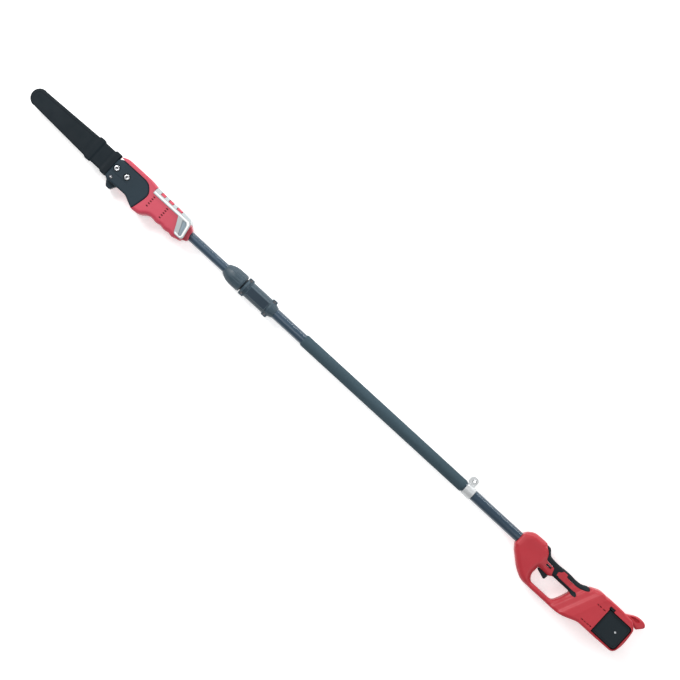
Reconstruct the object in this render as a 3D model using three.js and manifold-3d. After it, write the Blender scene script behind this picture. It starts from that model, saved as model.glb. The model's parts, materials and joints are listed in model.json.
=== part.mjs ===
// A battery pole saw: saw head, two telescoping tubes, coupling, strap hanger and D-handle.
// Millimetres. It lies on its right side: +X runs along the pole from the saw to the rear of
// the handle, +Y is the tool's top, and +Z is its left side, which faces up.
// The outlines are written about the pole's own axis, which is y = 0, z = 0.

import * as THREE from 'three';
import { mergeVertices } from 'three/addons/utils/BufferGeometryUtils.js';
import Module from 'manifold-3d';

const wasm = await Module();
wasm.setup();

// Driving dimensions

const GAP = 0.3;                    // clearance between touching pieces
const FAR = 400;                    // longer than any cut

const HALF_WIDTH = 40.3;            // widest half width, at the bumper and the rear body
const HOUSING_HALF = 37;            // saw head shells
const WALL = 3;                     // moulded wall

const BAR_MID_Z = 12;               // middle plane of the guide bar
const BAR_THICK = 4;
const BAR_HALF_HEIGHT = 18.5;
const BAR_NOSE_X = -994;
const BAR_NOSE_RADIUS = 15;
const BAR_TAIL_X = -684;
const CHAIN_WIDTH = 6.4;
const CHAIN_HEIGHT = 6;
const CHAIN_LIFT = 0.5;             // chain above the bar's edge
const SPROCKET_X = -664;
const SPROCKET_RADIUS = 16.2;
const SPROCKET_TEETH = 8;
const NOSE_SPROCKET_RADIUS = 13.2;
const NOSE_SPROCKET_TEETH = 8;
const STUDS_X = [-724.5, -689.5];
const STUD_Y = 1;
const STUD_RADIUS = 3;
const STUD_TOP_Z = 32.5;
const COVER_FACE_Z = 36;
const PAD_FACE_Z = BAR_MID_Z - BAR_THICK / 2 - GAP;
const CASE_TOP_Z = PAD_FACE_Z - 2.3; // gearcase beside the pad, and the cover's lower edge

const GEAR_TEETH = 24;
const PINION_TEETH = 8;
const GEAR_RADIUS = 22.5;
const GEAR_FACE_Z = -8.5;           // face that carries the crown gear's teeth
const TOOTH_DEPTH = 2.9;
const TOOTH_THICK = 1.2;
const PINION_RADIUS = 8.2;

const SHAFT_RADIUS = 3;
const STATOR_RADIUS = 26;
const ROTOR_RADIUS = 15;
const MOTOR_X = [-605, -555];
const BEARING_RADIUS = 9;
const BEARINGS_X = [[-630, -624], [-546, -540]];

const INNER_TUBE = { radius: 12.5, wall: 1.2, from: -504, to: 640 };
const OUTER_TUBE = { radius: 14.5, wall: 1.4, from: -276, to: 748 };
const SLEEVE = { radius: 16.75, from: -70, to: 495 };
const LOCK_NUT_X = [-344, -283];
const COUPLING_X = [-279, -172];
const COUPLING_HALF = 22.5;
const HANGER_X = [498, 526];
const LEAD_RADIUS = 7;

const GRIP_HALF = 17;
const BATTERY = { left: 984, right: 1062, bottom: -52, top: 21, low: -28, high: 36 };
const BAY_GAP = 1.5;                // around the battery, in its bay

// Materials

function material(color, roughness, metalness = 0) {
  return new THREE.MeshStandardMaterial({ color, roughness, metalness });
}
const headRed = material(0xb8424e, 0.5);
const handleRed = material(0xb02a35, 0.5);
const charcoal = material(0x2b3a43, 0.6);
const blackPlastic = material(0x161d21, 0.7);
const rubber = material(0x1b2225, 0.85);
const trimGrey = material(0xc3c9cb, 0.4);
const padGrey = material(0x6f7f89, 0.6);
const tubePaint = material(0x3e5366, 0.35, 0.3);
const sleeveRubber = material(0x4b5f6a, 0.8);
const steel = material(0xa9adb0, 0.3, 1);
const darkSteel = material(0x4a4d50, 0.45, 1);
const copper = material(0xa06a3c, 0.4, 1);
const boardGreen = material(0x1f5a3a, 0.6);
const hangerWhite = material(0xd9dcdc, 0.4);

// Solids from outlines

// A closed outline: each corner is [x, y] or [x, y, cut], and a cut corner is a curve that
// starts and ends that far from it.
function outline(corners) {
  const shape = new THREE.Shape();
  const count = corners.length;
  corners.forEach(([x, y, cut = 0], i) => {
    const corner = new THREE.Vector2(x, y);
    const near = (other) => {
      const away = new THREE.Vector2(other[0], other[1]).sub(corner);
      const reach = Math.min(cut, away.length() * 0.49);
      return away.setLength(reach).add(corner);
    };
    const start = near(corners[(i + count - 1) % count]);
    const end = near(corners[(i + 1) % count]);
    if (i === 0) shape.moveTo(start.x, start.y);
    else shape.lineTo(start.x, start.y);
    if (cut > 0) shape.quadraticCurveTo(x, y, end.x, end.y);
  });
  return shape;
}

function circle(radius, x = 0, y = 0) {
  return new THREE.Shape().absarc(x, y, radius, 0, 2 * Math.PI, false);
}

function rectangle(x0, y0, x1, y1, cut = 0) {
  return outline([[x0, y0, cut], [x1, y0, cut], [x1, y1, cut], [x0, y1, cut]]);
}

// The corners of a counter-clockwise outline moved outwards by a distance.
function grown(corners, distance) {
  const count = corners.length;
  return corners.map(([x, y, cut = 0], i) => {
    const [ax, ay] = corners[(i + count - 1) % count];
    const [bx, by] = corners[(i + 1) % count];
    const into = new THREE.Vector2(x - ax, y - ay).normalize();
    const out = new THREE.Vector2(bx - x, by - y).normalize();
    const normal = new THREE.Vector2(into.y + out.y, -into.x - out.x);
    const mitre = Math.max(1 + into.dot(out), 0.5);
    return [x + normal.x * distance / mitre, y + normal.y * distance / mitre, cut];
  });
}

// A manifold solid from any closed three.js geometry.
function solid(geometry) {
  const bare = geometry.clone();
  bare.deleteAttribute('normal');
  bare.deleteAttribute('uv');
  const merged = mergeVertices(bare, 1e-4);
  const index = Array.from(merged.index.array);
  const triangles = [];
  for (let i = 0; i < index.length; i += 3) {
    const [a, b, c] = index.slice(i, i + 3);
    if (a !== b && b !== c && c !== a) triangles.push(a, b, c);
  }
  const vertProperties = new Float32Array(merged.attributes.position.array);
  const build = (corners) => new wasm.Manifold(new wasm.Mesh({
    numProp: 3, vertProperties, triVerts: new Uint32Array(corners),
  }));
  const body = build(triangles);
  if (body.volume() > 0) return body;
  return build(triangles.reverse());
}

// An outline pushed along an axis. Across z it is read as (x, y), across y as (z, x) and
// across x as (y, z).
const AXES = [new THREE.Vector3(1, 0, 0), new THREE.Vector3(0, 1, 0), new THREE.Vector3(0, 0, 1)];
const ALONG = {
  x: new THREE.Matrix4().makeBasis(AXES[1], AXES[2], AXES[0]),
  y: new THREE.Matrix4().makeBasis(AXES[2], AXES[0], AXES[1]),
  z: new THREE.Matrix4(),
};
function prism(axis, shape, low, high, bevel = 0, smooth = 2) {
  const geometry = new THREE.ExtrudeGeometry(shape, {
    depth: high - low - 2 * bevel,
    bevelEnabled: bevel > 0,
    bevelThickness: bevel,
    bevelSize: bevel,
    bevelOffset: -bevel,
    bevelSegments: 1,
    curveSegments: smooth,
  });
  geometry.translate(0, 0, low + bevel);
  geometry.applyMatrix4(ALONG[axis]);
  return solid(geometry);
}

function rod(axis, radius, low, high, a = 0, b = 0, smooth = 6) {
  return prism(axis, circle(radius, a, b), low, high, 0, smooth);
}

function block(x0, y0, z0, x1, y1, z1) {
  return prism('z', rectangle(x0, y0, x1, y1), z0, z1);
}

// A profile of [x, radius] pairs turned about the pole's axis.
function turned(profile, sides = 20) {
  const points = profile.map(([x, radius]) => new THREE.Vector2(radius, x));
  if (points[0].x > 0) points.push(points[0].clone());
  return solid(new THREE.LatheGeometry(points, sides).rotateZ(-Math.PI / 2));
}

// A round bore along the pole's axis, with the same facets as the turned piece that fits it.
function bore(radius, low, high) {
  return turned([[low, 0], [low, radius], [high, radius], [high, 0]]);
}

function ring(low, high, inner, outer, sides = 20) {
  return turned([[low, inner], [high, inner], [high, outer], [low, outer]], sides);
}

function joined(...bodies) {
  return bodies.reduce((sum, body) => sum.add(body));
}

function cut(body, ...tools) {
  return tools.reduce((rest, tool) => rest.subtract(tool), body);
}

function leftHalf(body) {
  return body.intersect(block(-2000, -500, GAP / 2, 2000, 500, 500));
}

function rightHalf(body) {
  return body.intersect(block(-2000, -500, -500, 2000, 500, -GAP / 2));
}

// The scene graph

const saw = new THREE.Group();

function add(name, body, look) {
  const { numProp, vertProperties, triVerts } = body.getMesh();
  const geometry = new THREE.BufferGeometry();
  geometry.setAttribute('position', new THREE.BufferAttribute(vertProperties, numProp));
  geometry.setIndex(new THREE.BufferAttribute(triVerts, 1));
  geometry.computeVertexNormals();
  const mesh = new THREE.Mesh(geometry, look);
  mesh.name = name;
  saw.add(mesh);
}

// Scabbard: a flat moulded sheath with a stepped mouth, hollow and open towards the saw head

function scabbard() {
  const shell = (inset) => grown([
    [-1022, -20, 16], [-1000, -25, 10], [-812, -33], [-736.8, -33],
    [-736.8, 31.5], [-812, 31.5], [-1000, 25, 10], [-1022, 20, 16],
  ], -inset);
  const band = (x0, x1, low, high) => prism(
    'z', rectangle(x0, low, x1, high, 2), BAR_MID_Z - 10, BAR_MID_Z + 10, 1.5,
  );
  const inside = shell(2.2).map(([x, y, round]) => [x > -740 ? -700 : x, y, round]);
  return cut(
    joined(
      prism('z', outline(shell(0)), BAR_MID_Z - 8.5, BAR_MID_Z + 8.5, 2.5),
      band(-812, -793, -35, 34),
      band(-757, -736.8, -35.5, 34.5),
    ),
    prism('z', outline(inside), BAR_MID_Z - 6, BAR_MID_Z + 6),
  );
}

// Guide bar, nose sprocket and chain

function barEdge(offset) {
  return [
    [BAR_NOSE_X - BAR_NOSE_RADIUS - offset, -BAR_NOSE_RADIUS - offset, BAR_NOSE_RADIUS + offset],
    [BAR_NOSE_X + 150, -BAR_HALF_HEIGHT - offset, 20],
    [BAR_TAIL_X - 20, -BAR_HALF_HEIGHT - offset, 20],
  ];
}

function mirrored(corners) {
  return corners.map(([x, y, round]) => [x, -y, round]).reverse();
}

function guideBar() {
  const lower = [...barEdge(0), [BAR_TAIL_X, -13, 3]];
  const plate = prism(
    'z', outline([...lower, ...mirrored(lower)]),
    BAR_MID_Z - BAR_THICK / 2, BAR_MID_Z + BAR_THICK / 2, 0, 6,
  );
  const slot = rectangle(STUDS_X[0] - 6, STUD_Y - 3.4, STUDS_X[1] + 3.5, STUD_Y + 3.4, 3);
  const noseSlot = rod(
    'z', BAR_NOSE_RADIUS + 3, BAR_MID_Z - 0.9, BAR_MID_Z + 0.9, BAR_NOSE_X - 4, 0,
  );
  const nosePost = rod('z', 3, BAR_MID_Z - 1, BAR_MID_Z + 1, BAR_NOSE_X, 0, 4);
  return cut(plate, prism('z', slot, 0, 20), cut(noseSlot, nosePost));
}

function noseSprocket() {
  const corners = [];
  for (let i = 0; i < NOSE_SPROCKET_TEETH; i += 1) {
    for (const [share, radius] of [[0, 1], [0.25, 1], [0.5, 0.8], [0.75, 0.8]]) {
      const angle = (i + share) * 2 * Math.PI / NOSE_SPROCKET_TEETH;
      const reach = radius * NOSE_SPROCKET_RADIUS;
      corners.push([BAR_NOSE_X + reach * Math.cos(angle), reach * Math.sin(angle)]);
    }
  }
  return cut(
    prism('z', outline(corners), BAR_MID_Z - 0.6, BAR_MID_Z + 0.6),
    rod('z', 3.3, 0, 20, BAR_NOSE_X, 0, 4),
  );
}

function chainLoop(offset) {
  const radius = SPROCKET_RADIUS + 0.8 + offset - CHAIN_LIFT;
  const lower = [...barEdge(offset), [SPROCKET_X + radius, -radius, radius]];
  return prism(
    'z', outline([...lower, ...mirrored(lower)]),
    BAR_MID_Z - CHAIN_WIDTH / 2, BAR_MID_Z + CHAIN_WIDTH / 2, 0, 8,
  );
}

function sawChain() {
  return cut(chainLoop(CHAIN_LIFT + CHAIN_HEIGHT), chainLoop(CHAIN_LIFT));
}

// Gearcase, cover and bar fasteners

const caseOutline = [
  [-735.9, -30], [-722, -50, 3], [-719, -53.4, 3], [-708, -53.5, 2], [-704, -46, 5],
  [-700, -38, 3], [-693, -35.5, 4], [-662, -35.3, 6], [-640, -33],
  [-636.4, -20], [-636.4, 22, 4], [-646, 29.2, 6], [-724, 29.2, 3], [-735.9, 20],
];

function gearcase() {
  return cut(
    joined(
      prism('z', outline(caseOutline), -20, CASE_TOP_Z),
      block(-735.8, -15, 0, STUDS_X[1] + 9, 16, PAD_FACE_Z),
    ),
    rod('z', 24.5, -17, 2, SPROCKET_X, 0, 7),
    rod('z', 5.3, 0, FAR, SPROCKET_X, 0, 5),
    bore(9.2, SPROCKET_X, -600),
    ...STUDS_X.map((x) => rod('z', STUD_RADIUS + GAP, -14, FAR, x, STUD_Y, 4)),
  );
}

const coverOutline = [
  [-736.2, -32, 3], [-727, -37.5, 3], [-695, -36, 4], [-662, -35.5, 6], [-645, -44, 8],
  [-628.5, -51, 5], [-625, -40, 5], [-618, -10, 10], [-617, 4, 6], [-622, 14, 6],
  [-634, 26, 6], [-646, 29.4, 6], [-724, 29.4, 4], [-736.2, 22, 4],
];

function sprocketCover() {
  const chainRoom = outline([
    [-FAR * 3, -28], [SPROCKET_X, -28], [-638, -14, 10], [-638, 14, 10], [SPROCKET_X, 28],
    [-FAR * 3, 28],
  ]);
  const barPad = block(-736.2, -14, PAD_FACE_Z, STUDS_X[1] + 9, 15, 22);
  return cut(
    prism('z', outline(coverOutline), CASE_TOP_Z + GAP, COVER_FACE_Z),
    cut(prism('z', chainRoom, -FAR, BAR_MID_Z + 4.6), barPad),
    block(-FAR * 3, -14.5, -FAR, STUDS_X[1] + 9.5, 15.5, BAR_MID_Z + BAR_THICK / 2 + GAP),
    rod('z', 18, 0, 21, SPROCKET_X, 0, 8),
    bore(BEARING_RADIUS + GAP, -660, -610),
    rod('z', 4.5 + GAP, 20, FAR, -721, -26.5, 5),
    ...STUDS_X.flatMap((x) => [
      rod('z', STUD_RADIUS + GAP, 0, FAR, x, STUD_Y, 4),
      rod('z', 10, 30.2, FAR, x, STUD_Y, 6),
    ]),
  );
}

function barNut(x) {
  return cut(
    joined(
      rod('z', 8.2, 30.5, 32, x, STUD_Y, 6),
      rod('z', 7.2, 30.5, 36.6, x, STUD_Y, 3),
    ),
    rod('z', STUD_RADIUS + GAP, 0, FAR, x, STUD_Y, 4),
  );
}

function tensionScrew() {
  return cut(
    rod('z', 4.5, 20.3, COVER_FACE_Z - 0.4, -721, -26.5, 5),
    block(-726, -27.4, 33, -716, -25.6, FAR),
  );
}

// Saw head shells

const headOutline = [
  [-724, 30], [-736.2, 30], [-725, 36, 3], [-714, 40, 6], [-630, 40, 12], [-612, 35.5, 4],
  [-606, 32], [-496, 30.5, 8], [-485, 21, 4], [-476, 17, 3], [-471, 12], [-470.5, 0],
  [-466, -11, 2], [-468, -18, 2], [-478, -22], [-484, -30, 3], [-494, -31, 2],
  [-502, -35.5, 5], [-516, -32, 3], [-530, -35.5, 5], [-543, -32, 3], [-556, -35.5, 5],
  [-572, -32.5, 6], [-586, -35, 6], [-606, -51, 8], [-627.5, -51.5, 3], [-645, -44, 8],
  [-664, -35.8, 4], [-724, -35.5],
].reverse();

function bulkhead(x0, x1) {
  return block(x0, -29, -HOUSING_HALF + 2, x1, 28, HOUSING_HALF - 2);
}

function headBody() {
  const inside = [
    [-618, -46, 4], [-606, -46, 6], [-586, -30, 6], [-492, -27.5, 5], [-492, 27, 5], [-618, 27, 4],
  ];
  const hollow = prism('z', outline(inside), -HOUSING_HALF + WALL, HOUSING_HALF - WALL);
  const front = outline([
    [-52, -HOUSING_HALF, 12], [41, -HOUSING_HALF, 12],
    [41, HOUSING_HALF, 12], [-52, HOUSING_HALF, 12],
  ]);
  const skin = prism('z', outline(headOutline), -HOUSING_HALF, HOUSING_HALF)
    .intersect(prism('x', front, -2000, 2000));
  const cradles = [[-592, -588], [-572, -568]].map(([x0, x1]) => bulkhead(x0, x1));
  const bearingWalls = BEARINGS_X.map(([x0, x1]) => bulkhead(x0 - 2, x1 + 2));
  const shells = joined(
    cut(joined(skin, windowBosses()), hollow),
    ...cradles, ...bearingWalls,
    rod('x', 17, -500, -484),
  );
  return cut(
    shells,
    bore(STATOR_RADIUS + GAP, -618, -548),
    bore(6, -640, -530),
    ...BEARINGS_X.map(([x0, x1]) => bore(BEARING_RADIUS + GAP, x0 - GAP, x1 + GAP)),
    bore(INNER_TUBE.radius + GAP, INNER_TUBE.from - GAP, -400),
    prism('z', outline(grown(caseOutline, GAP)), -20 - GAP, FAR),
    rearNeckSides(1),
    rearNeckSides(-1),
    ...shoulders(0),
    oilCapHole(),
    ...ventSlots(),
  );
}

// What is cut away above the sloping shoulders between the top and the sides, along the rear of
// the housing. The slope lies a distance outside the housing's own.
function shoulders(distance) {
  const foot = new THREE.Vector2(24, HOUSING_HALF);
  const slope = new THREE.Vector2(10, -12).normalize();
  const normal = new THREE.Vector2(-slope.y, slope.x);
  const low = foot.clone().addScaledVector(normal, distance).addScaledVector(slope, -30);
  const high = foot.clone().addScaledVector(normal, distance).addScaledVector(slope, 60);
  return [1, -1].map((side) => prism(
    'x', outline([[low.x, side * low.y], [high.x, side * high.y], [90, side * 90]]), -612.3, -440,
  ));
}

// The neck behind the bumper is narrower than the housing.
function rearNeckSides(side) {
  const low = side > 0 ? 21 : -FAR;
  const high = side > 0 ? FAR : -21;
  return prism('z', rectangle(-481.5, -60, -400, 60), low, high);
}

const VENT_ROWS_X = [-602, -557];
const VENT_ROWS_Y = [11, 4, -3, -10, -18];
function ventSlots() {
  return VENT_ROWS_X.flatMap((x) => VENT_ROWS_Y.map(
    (y) => block(x - 3, y - 1.6, HOUSING_HALF - 8, x + 3, y + 1.6, FAR),
  ));
}

const OIL_CAP = { x: -606, y: -33, radius: 11 };
function oilCapHole() {
  return rod('z', OIL_CAP.radius + 0.8, -FAR, -HOUSING_HALF + 7, OIL_CAP.x, OIL_CAP.y, 8);
}

function oilCap() {
  const { x, y, radius } = OIL_CAP;
  return cut(
    rod('z', radius, -HOUSING_HALF - 1, -HOUSING_HALF + 6.7, x, y, 6),
    block(x - 8.5, y - FAR, -FAR, x - 2, y + FAR, -HOUSING_HALF + 3),
    block(x + 2, y - FAR, -FAR, x + 8.5, y + FAR, -HOUSING_HALF + 3),
  );
}

function oilTank() {
  const corners = [
    [-617.5, -45, 4], [-607, -45, 5], [-596, -36, 3], [-590, -31.5], [-594, -29.5], [-617.5, -29.5],
  ];
  return cut(
    prism('z', outline(corners), -HOUSING_HALF + 7.5, HOUSING_HALF - WALL - 1),
    prism('z', outline(grown(corners, -1.6)), -HOUSING_HALF + 9, HOUSING_HALF - WALL - 2.6),
    rod('z', 4, -HOUSING_HALF, -HOUSING_HALF + 10, OIL_CAP.x - 2, OIL_CAP.y - 4, 4),
  );
}

// Bumper: a cap over the top and both sides of the housing's rear, with three windows

const bumperOutline = [
  [-612, 36.3, 2], [-612, 17.5, 1], [-524, 17.5, 2], [-512, -5], [-503, -24, 4], [-482, -24, 3],
  [-476, -18, 3], [-480, 2], [-484, 21, 4], [-491, 32, 6], [-520, 34],
];
const padOutline = [
  [-508.5, 17.5, 2], [-496, 17.5, 2], [-490, 11, 3], [-483, -15, 2], [-487, -19, 2],
  [-493, -17.5, 2], [-500, 0],
].reverse();

const BUMPER_WINDOWS = [[-595, -580], [-568, -552], [-540, -521]];
const WINDOW_FROM_Y = 27;

function bumper() {
  const inside = prism(
    'z', outline(grown(headOutline, GAP)), -HOUSING_HALF - GAP, HOUSING_HALF + GAP,
  );
  return cut(
    prism('z', outline(bumperOutline), -HALF_WIDTH, HALF_WIDTH),
    cut(inside, ...shoulders(GAP)),
    ...shoulders(HALF_WIDTH - HOUSING_HALF),
    ...BUMPER_WINDOWS.map(([x0, x1]) => block(x0, WINDOW_FROM_Y, -FAR, x1, FAR, FAR)),
    prism('z', outline(padOutline), HOUSING_HALF - 3, FAR),
    prism('z', outline(padOutline), -FAR, -HOUSING_HALF + 3),
  );
}

// The housing stands up through the bumper's windows, almost level with it.
function windowBosses() {
  const top = prism('z', outline(grown(bumperOutline, -0.6)), -FAR, FAR);
  const fills = BUMPER_WINDOWS.map(([x0, x1]) => block(
    x0 + 2 * GAP, WINDOW_FROM_Y + 2 * GAP, -HOUSING_HALF, x1 - 2 * GAP, FAR, HOUSING_HALF,
  ));
  return cut(joined(...fills).intersect(top), ...shoulders(HALF_WIDTH - HOUSING_HALF - 0.6));
}

function bumperPad(side) {
  const near = HOUSING_HALF + GAP;
  const face = HALF_WIDTH - 1;
  const [low, high] = side > 0 ? [near, face] : [-face, -near];
  return prism('z', outline(grown(padOutline, -GAP)), low, high);
}

// Drive

function crownGear() {
  const disc = cut(
    rod('z', GEAR_RADIUS, GEAR_FACE_Z - 4.5, GEAR_FACE_Z, 0, 0, 16),
    rod('z', 5 + 0.1, -FAR, FAR, 0, 0, 5),
  );
  const teeth = [];
  for (let i = 0; i < GEAR_TEETH; i += 1) {
    const tooth = block(18.5, -TOOTH_THICK / 2, GEAR_FACE_Z - 1, 22.3, TOOTH_THICK / 2,
      GEAR_FACE_Z + TOOTH_DEPTH);
    teeth.push(tooth.rotate([0, 0, (i + 0.5) * 360 / GEAR_TEETH]));
  }
  return joined(disc, ...teeth).translate([SPROCKET_X, 0, 0]);
}

function pinion() {
  const x0 = SPROCKET_X + 18.7;
  const x1 = SPROCKET_X + 22.6;
  const teeth = [];
  for (let i = 0; i < PINION_TEETH; i += 1) {
    const tooth = block(x0, -TOOTH_THICK / 2, -PINION_RADIUS, x1, TOOTH_THICK / 2, -4);
    teeth.push(tooth.rotate([i * 360 / PINION_TEETH, 0, 0]));
  }
  return cut(
    joined(rod('x', 4.6, x0, x1 + 4, 0, 0, 5), ...teeth),
    bore(SHAFT_RADIUS + 0.2, -700, -600),
  );
}

function sprocketShaft() {
  return rod('z', 5, -16.7, 19, SPROCKET_X, 0, 5);
}

function driveSprocket() {
  const corners = [];
  for (let i = 0; i < SPROCKET_TEETH; i += 1) {
    for (const [share, radius] of [[0, 1], [0.3, 1], [0.5, 0.84], [0.8, 0.84]]) {
      const angle = (i + share) * 2 * Math.PI / SPROCKET_TEETH;
      const reach = radius * SPROCKET_RADIUS;
      corners.push([SPROCKET_X + reach * Math.cos(angle), reach * Math.sin(angle)]);
    }
  }
  return cut(
    prism('z', outline(corners), BAR_MID_Z - 3.4, BAR_MID_Z + 4),
    rod('z', 5.1, -FAR, FAR, SPROCKET_X, 0, 5),
  );
}

function rotor() {
  return turned([
    [SPROCKET_X + 18.7, 0], [SPROCKET_X + 18.7, SHAFT_RADIUS], [MOTOR_X[0] + 3, SHAFT_RADIUS],
    [MOTOR_X[0] + 3, ROTOR_RADIUS], [MOTOR_X[1] - 3, ROTOR_RADIUS],
    [MOTOR_X[1] - 3, SHAFT_RADIUS], [-535, SHAFT_RADIUS], [-535, 0],
  ], 20);
}

function fan() {
  const blades = [];
  for (let i = 0; i < 6; i += 1) {
    const vane = block(-537, 6, -0.7, -530, 22, 0.7);
    blades.push(vane.rotate([i * 60, 0, 0]));
  }
  return cut(
    joined(ring(-537, -535.4, 3.5, 22.5), rod('x', 7, -537, -530, 0, 0, 5), ...blades),
    bore(SHAFT_RADIUS + 0.2, -600, -500),
  );
}

// Tubes, lock nut and coupling

function tube({ radius, wall, from, to }) {
  return ring(from, to, radius - wall, radius, 20);
}

function lockNut() {
  const [front, back] = LOCK_NUT_X;
  const bore = INNER_TUBE.radius + GAP;
  const body = turned([
    [front, bore], [front + 14, bore], [front + 28, 17.8], [back, 17.8], [back, 25],
    [back - 4, 25], [front + 24, 23.5], [front + 3, 15.5], [front, 14.5],
  ], 24);
  const flutes = [];
  for (let i = 0; i < 8; i += 1) {
    const groove = rod('x', 1.6, front + 30, back - 7, 0, 25.4, 2);
    flutes.push(groove.rotate([i * 45, 0, 0]));
  }
  return cut(body, ...flutes);
}

function collet() {
  return turned([
    [-326, 12.9], [-280.6, 12.9], [-280.6, 17.2], [-316, 17.2], [-325.5, 13.6],
  ]);
}

const COUPLING_EARS_X = [-272, -191];
const EAR_Y = 20.5;

function couplingBody() {
  const [front, back] = COUPLING_X;
  const barrel = turned([
    [front, 0], [front, 20], [front + 2, 22.3], [-190, 22.3], [back, 15.6], [back, 0],
  ], 20);
  const ears = COUPLING_EARS_X.flatMap((x) => [1, -1].map((side) => prism(
    'z', rectangle(x - 8, side > 0 ? 10 : -26, x + 8, side > 0 ? 26 : -10, 3), -9, 9, 1.5,
  )));
  const panels = [1, -1].map((side) => prism(
    'z', rectangle(-263, -14, -197, 12, 3), side > 0 ? 14 : -23.6, side > 0 ? 23.6 : -14, 1.2,
  ));
  return cut(
    joined(barrel, ...ears, ...panels),
    bore(OUTER_TUBE.radius + GAP, OUTER_TUBE.from - GAP, 0),
    bore(INNER_TUBE.radius + GAP, -500, 0),
    ...COUPLING_EARS_X.flatMap((x) => [1, -1].flatMap((side) => [
      rod('z', 2 + GAP, -FAR, FAR, x, side * EAR_Y, 4),
      rod('z', 3.6 + GAP, 4.5, FAR, x, side * EAR_Y, 4),
    ])),
  );
}

function screw(x, y, head, face, tip) {
  const towards = Math.sign(face - tip);
  const shank = [Math.min(tip, face), Math.max(tip, face)];
  const top = [Math.min(face, face - towards * head), Math.max(face, face - towards * head)];
  const driver = towards > 0 ? [face - 1.2, FAR] : [-FAR, face + 1.2];
  return cut(
    joined(
      rod('z', head * 0.53, shank[0], shank[1], x, y, 4),
      rod('z', head, top[0], top[1], x, y, 4),
    ),
    rod('z', head * 0.5, driver[0], driver[1], x, y, 3),
  );
}

// Strap hanger: a band round the tube, its ends turned up as a tab with an eye

const EYE = { x: 507, y: 28, radius: 3.7 };
function strapHanger() {
  const [front, back] = HANGER_X;
  const tab = prism(
    'z', outline([
      [498.5, 14], [517, 14], [518, 33, 3], [511, 39.5, 3], [499, 39.5, 3], [492.5, 33, 3],
      [492.5, 22, 2],
    ]),
    -2.2, 2.2, 0.6,
  );
  return cut(
    joined(ring(front, back, OUTER_TUBE.radius + GAP, 17.2), tab),
    bore(OUTER_TUBE.radius + GAP, 400, 600),
    rod('z', 5.4, -FAR, FAR, EYE.x, EYE.y, 6),
  );
}

function hangerEyelet() {
  const { x, y, radius } = EYE;
  return cut(rod('z', 5.1, -3, 3, x, y, 6), rod('z', radius, -FAR, FAR, x, y, 6));
}

// Handle

const handleOutline = [
  [690, 14], [690, -18], [701, -33], [730, -58], [745, -68.5, 4], [757, -75, 4], [770, -79.3, 6],
  [885, -79.3, 12], [905, -75, 8], [925, -67, 6], [944, -59.5, 6], [1000, -59.5],
  [1058, -58, 6], [1066, -50, 6], [1070, -30, 8], [1070, -8, 8], [1066.5, 22, 6],
  [1050, 38, 6], [1026, 39, 3], [1014, 41, 4], [970, 41, 3], [960, 38.5, 3], [950, 41, 4],
  [938, 39.5, 5], [920, 32, 4], [911, 27.5], [917.5, 20, 2], [908, 12.7, 4], [895, 7.7, 4],
  [885, 5.7, 3], [850, 5.7], [808, 1.7, 4], [780, 4.7, 3], [777.5, 11], [772.5, 20.7, 3],
  [757, 32.7, 3], [756, 37.5], [748, 38.5, 5], [714, 37.5, 7], [697, 26, 5],
];
const fingerHole = [
  [777, -23, 2], [813, -23, 3], [820, -16.3, 4], [881, -16.3, 4], [873, -40, 8], [861, -64.5, 8],
  [787, -64.5, 7], [776, -49, 6],
].reverse();
const hornOutline = [
  [1028, 30], [1066, 18], [1076, 30, 4], [1090.5, 46, 7], [1080, 56.5, 9], [1058, 56.5, 10],
  [1042, 48, 6], [1028, 39.5],
];
const gripPlan = [
  [-24, 690, 3], [-24, 770, 8], [-17, 792, 8], [-17, 862], [17, 862], [17, 792, 8], [24, 770, 8],
  [24, 690, 3],
].reverse();
const risePlan = [
  [-17, 800], [-17, 880, 10], [-24, 915, 10], [-HALF_WIDTH, 955, 12], [-HALF_WIDTH, 1200],
  [HALF_WIDTH, 1200], [HALF_WIDTH, 955, 12], [24, 915, 10], [17, 880, 10], [17, 800],
].reverse();
const rearPlan = [
  [-HALF_WIDTH, 860], [-HALF_WIDTH, 1071, 6], [HALF_WIDTH, 1071, 6], [HALF_WIDTH, 860],
].reverse();
const overmouldOutline = [
  [757.5, 35.6, 2], [757.5, 33.2, 1], [773, 21.3, 3], [778, 11], [780.5, 5.2, 3], [808, 2.2, 4],
  [850, 6.2], [885, 6.2, 3], [895, 8.2, 4], [908, 13.2, 4], [917, 20, 2], [909, 26.5, 3],
  [893, 18.2, 6], [875, 17, 5], [850, 18.8, 8], [812, 16.2, 8], [784, 18.5, 6], [774, 30, 4],
  [769, 35.2, 3],
];
const underpadOutline = [
  [816, -10, 2], [822, -16.4, 3], [879, -16.4, 2], [886, -19.5, 2], [894, -19, 4], [898.5, -12, 4],
  [892, -7, 3], [884, -8.6, 2], [820, -8.2, 2],
];

// The rise from the grip to the battery housing runs forward as it goes down.
const REAR_SLANT = 0.44;
const REAR_TOP = 18;
function slanted(body) {
  return body.transform([
    1, 0, 0, 0,
    REAR_SLANT, 1, 0, 0,
    0, 0, 1, 0,
    -REAR_SLANT * REAR_TOP, 0, 0, 1,
  ]);
}

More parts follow.
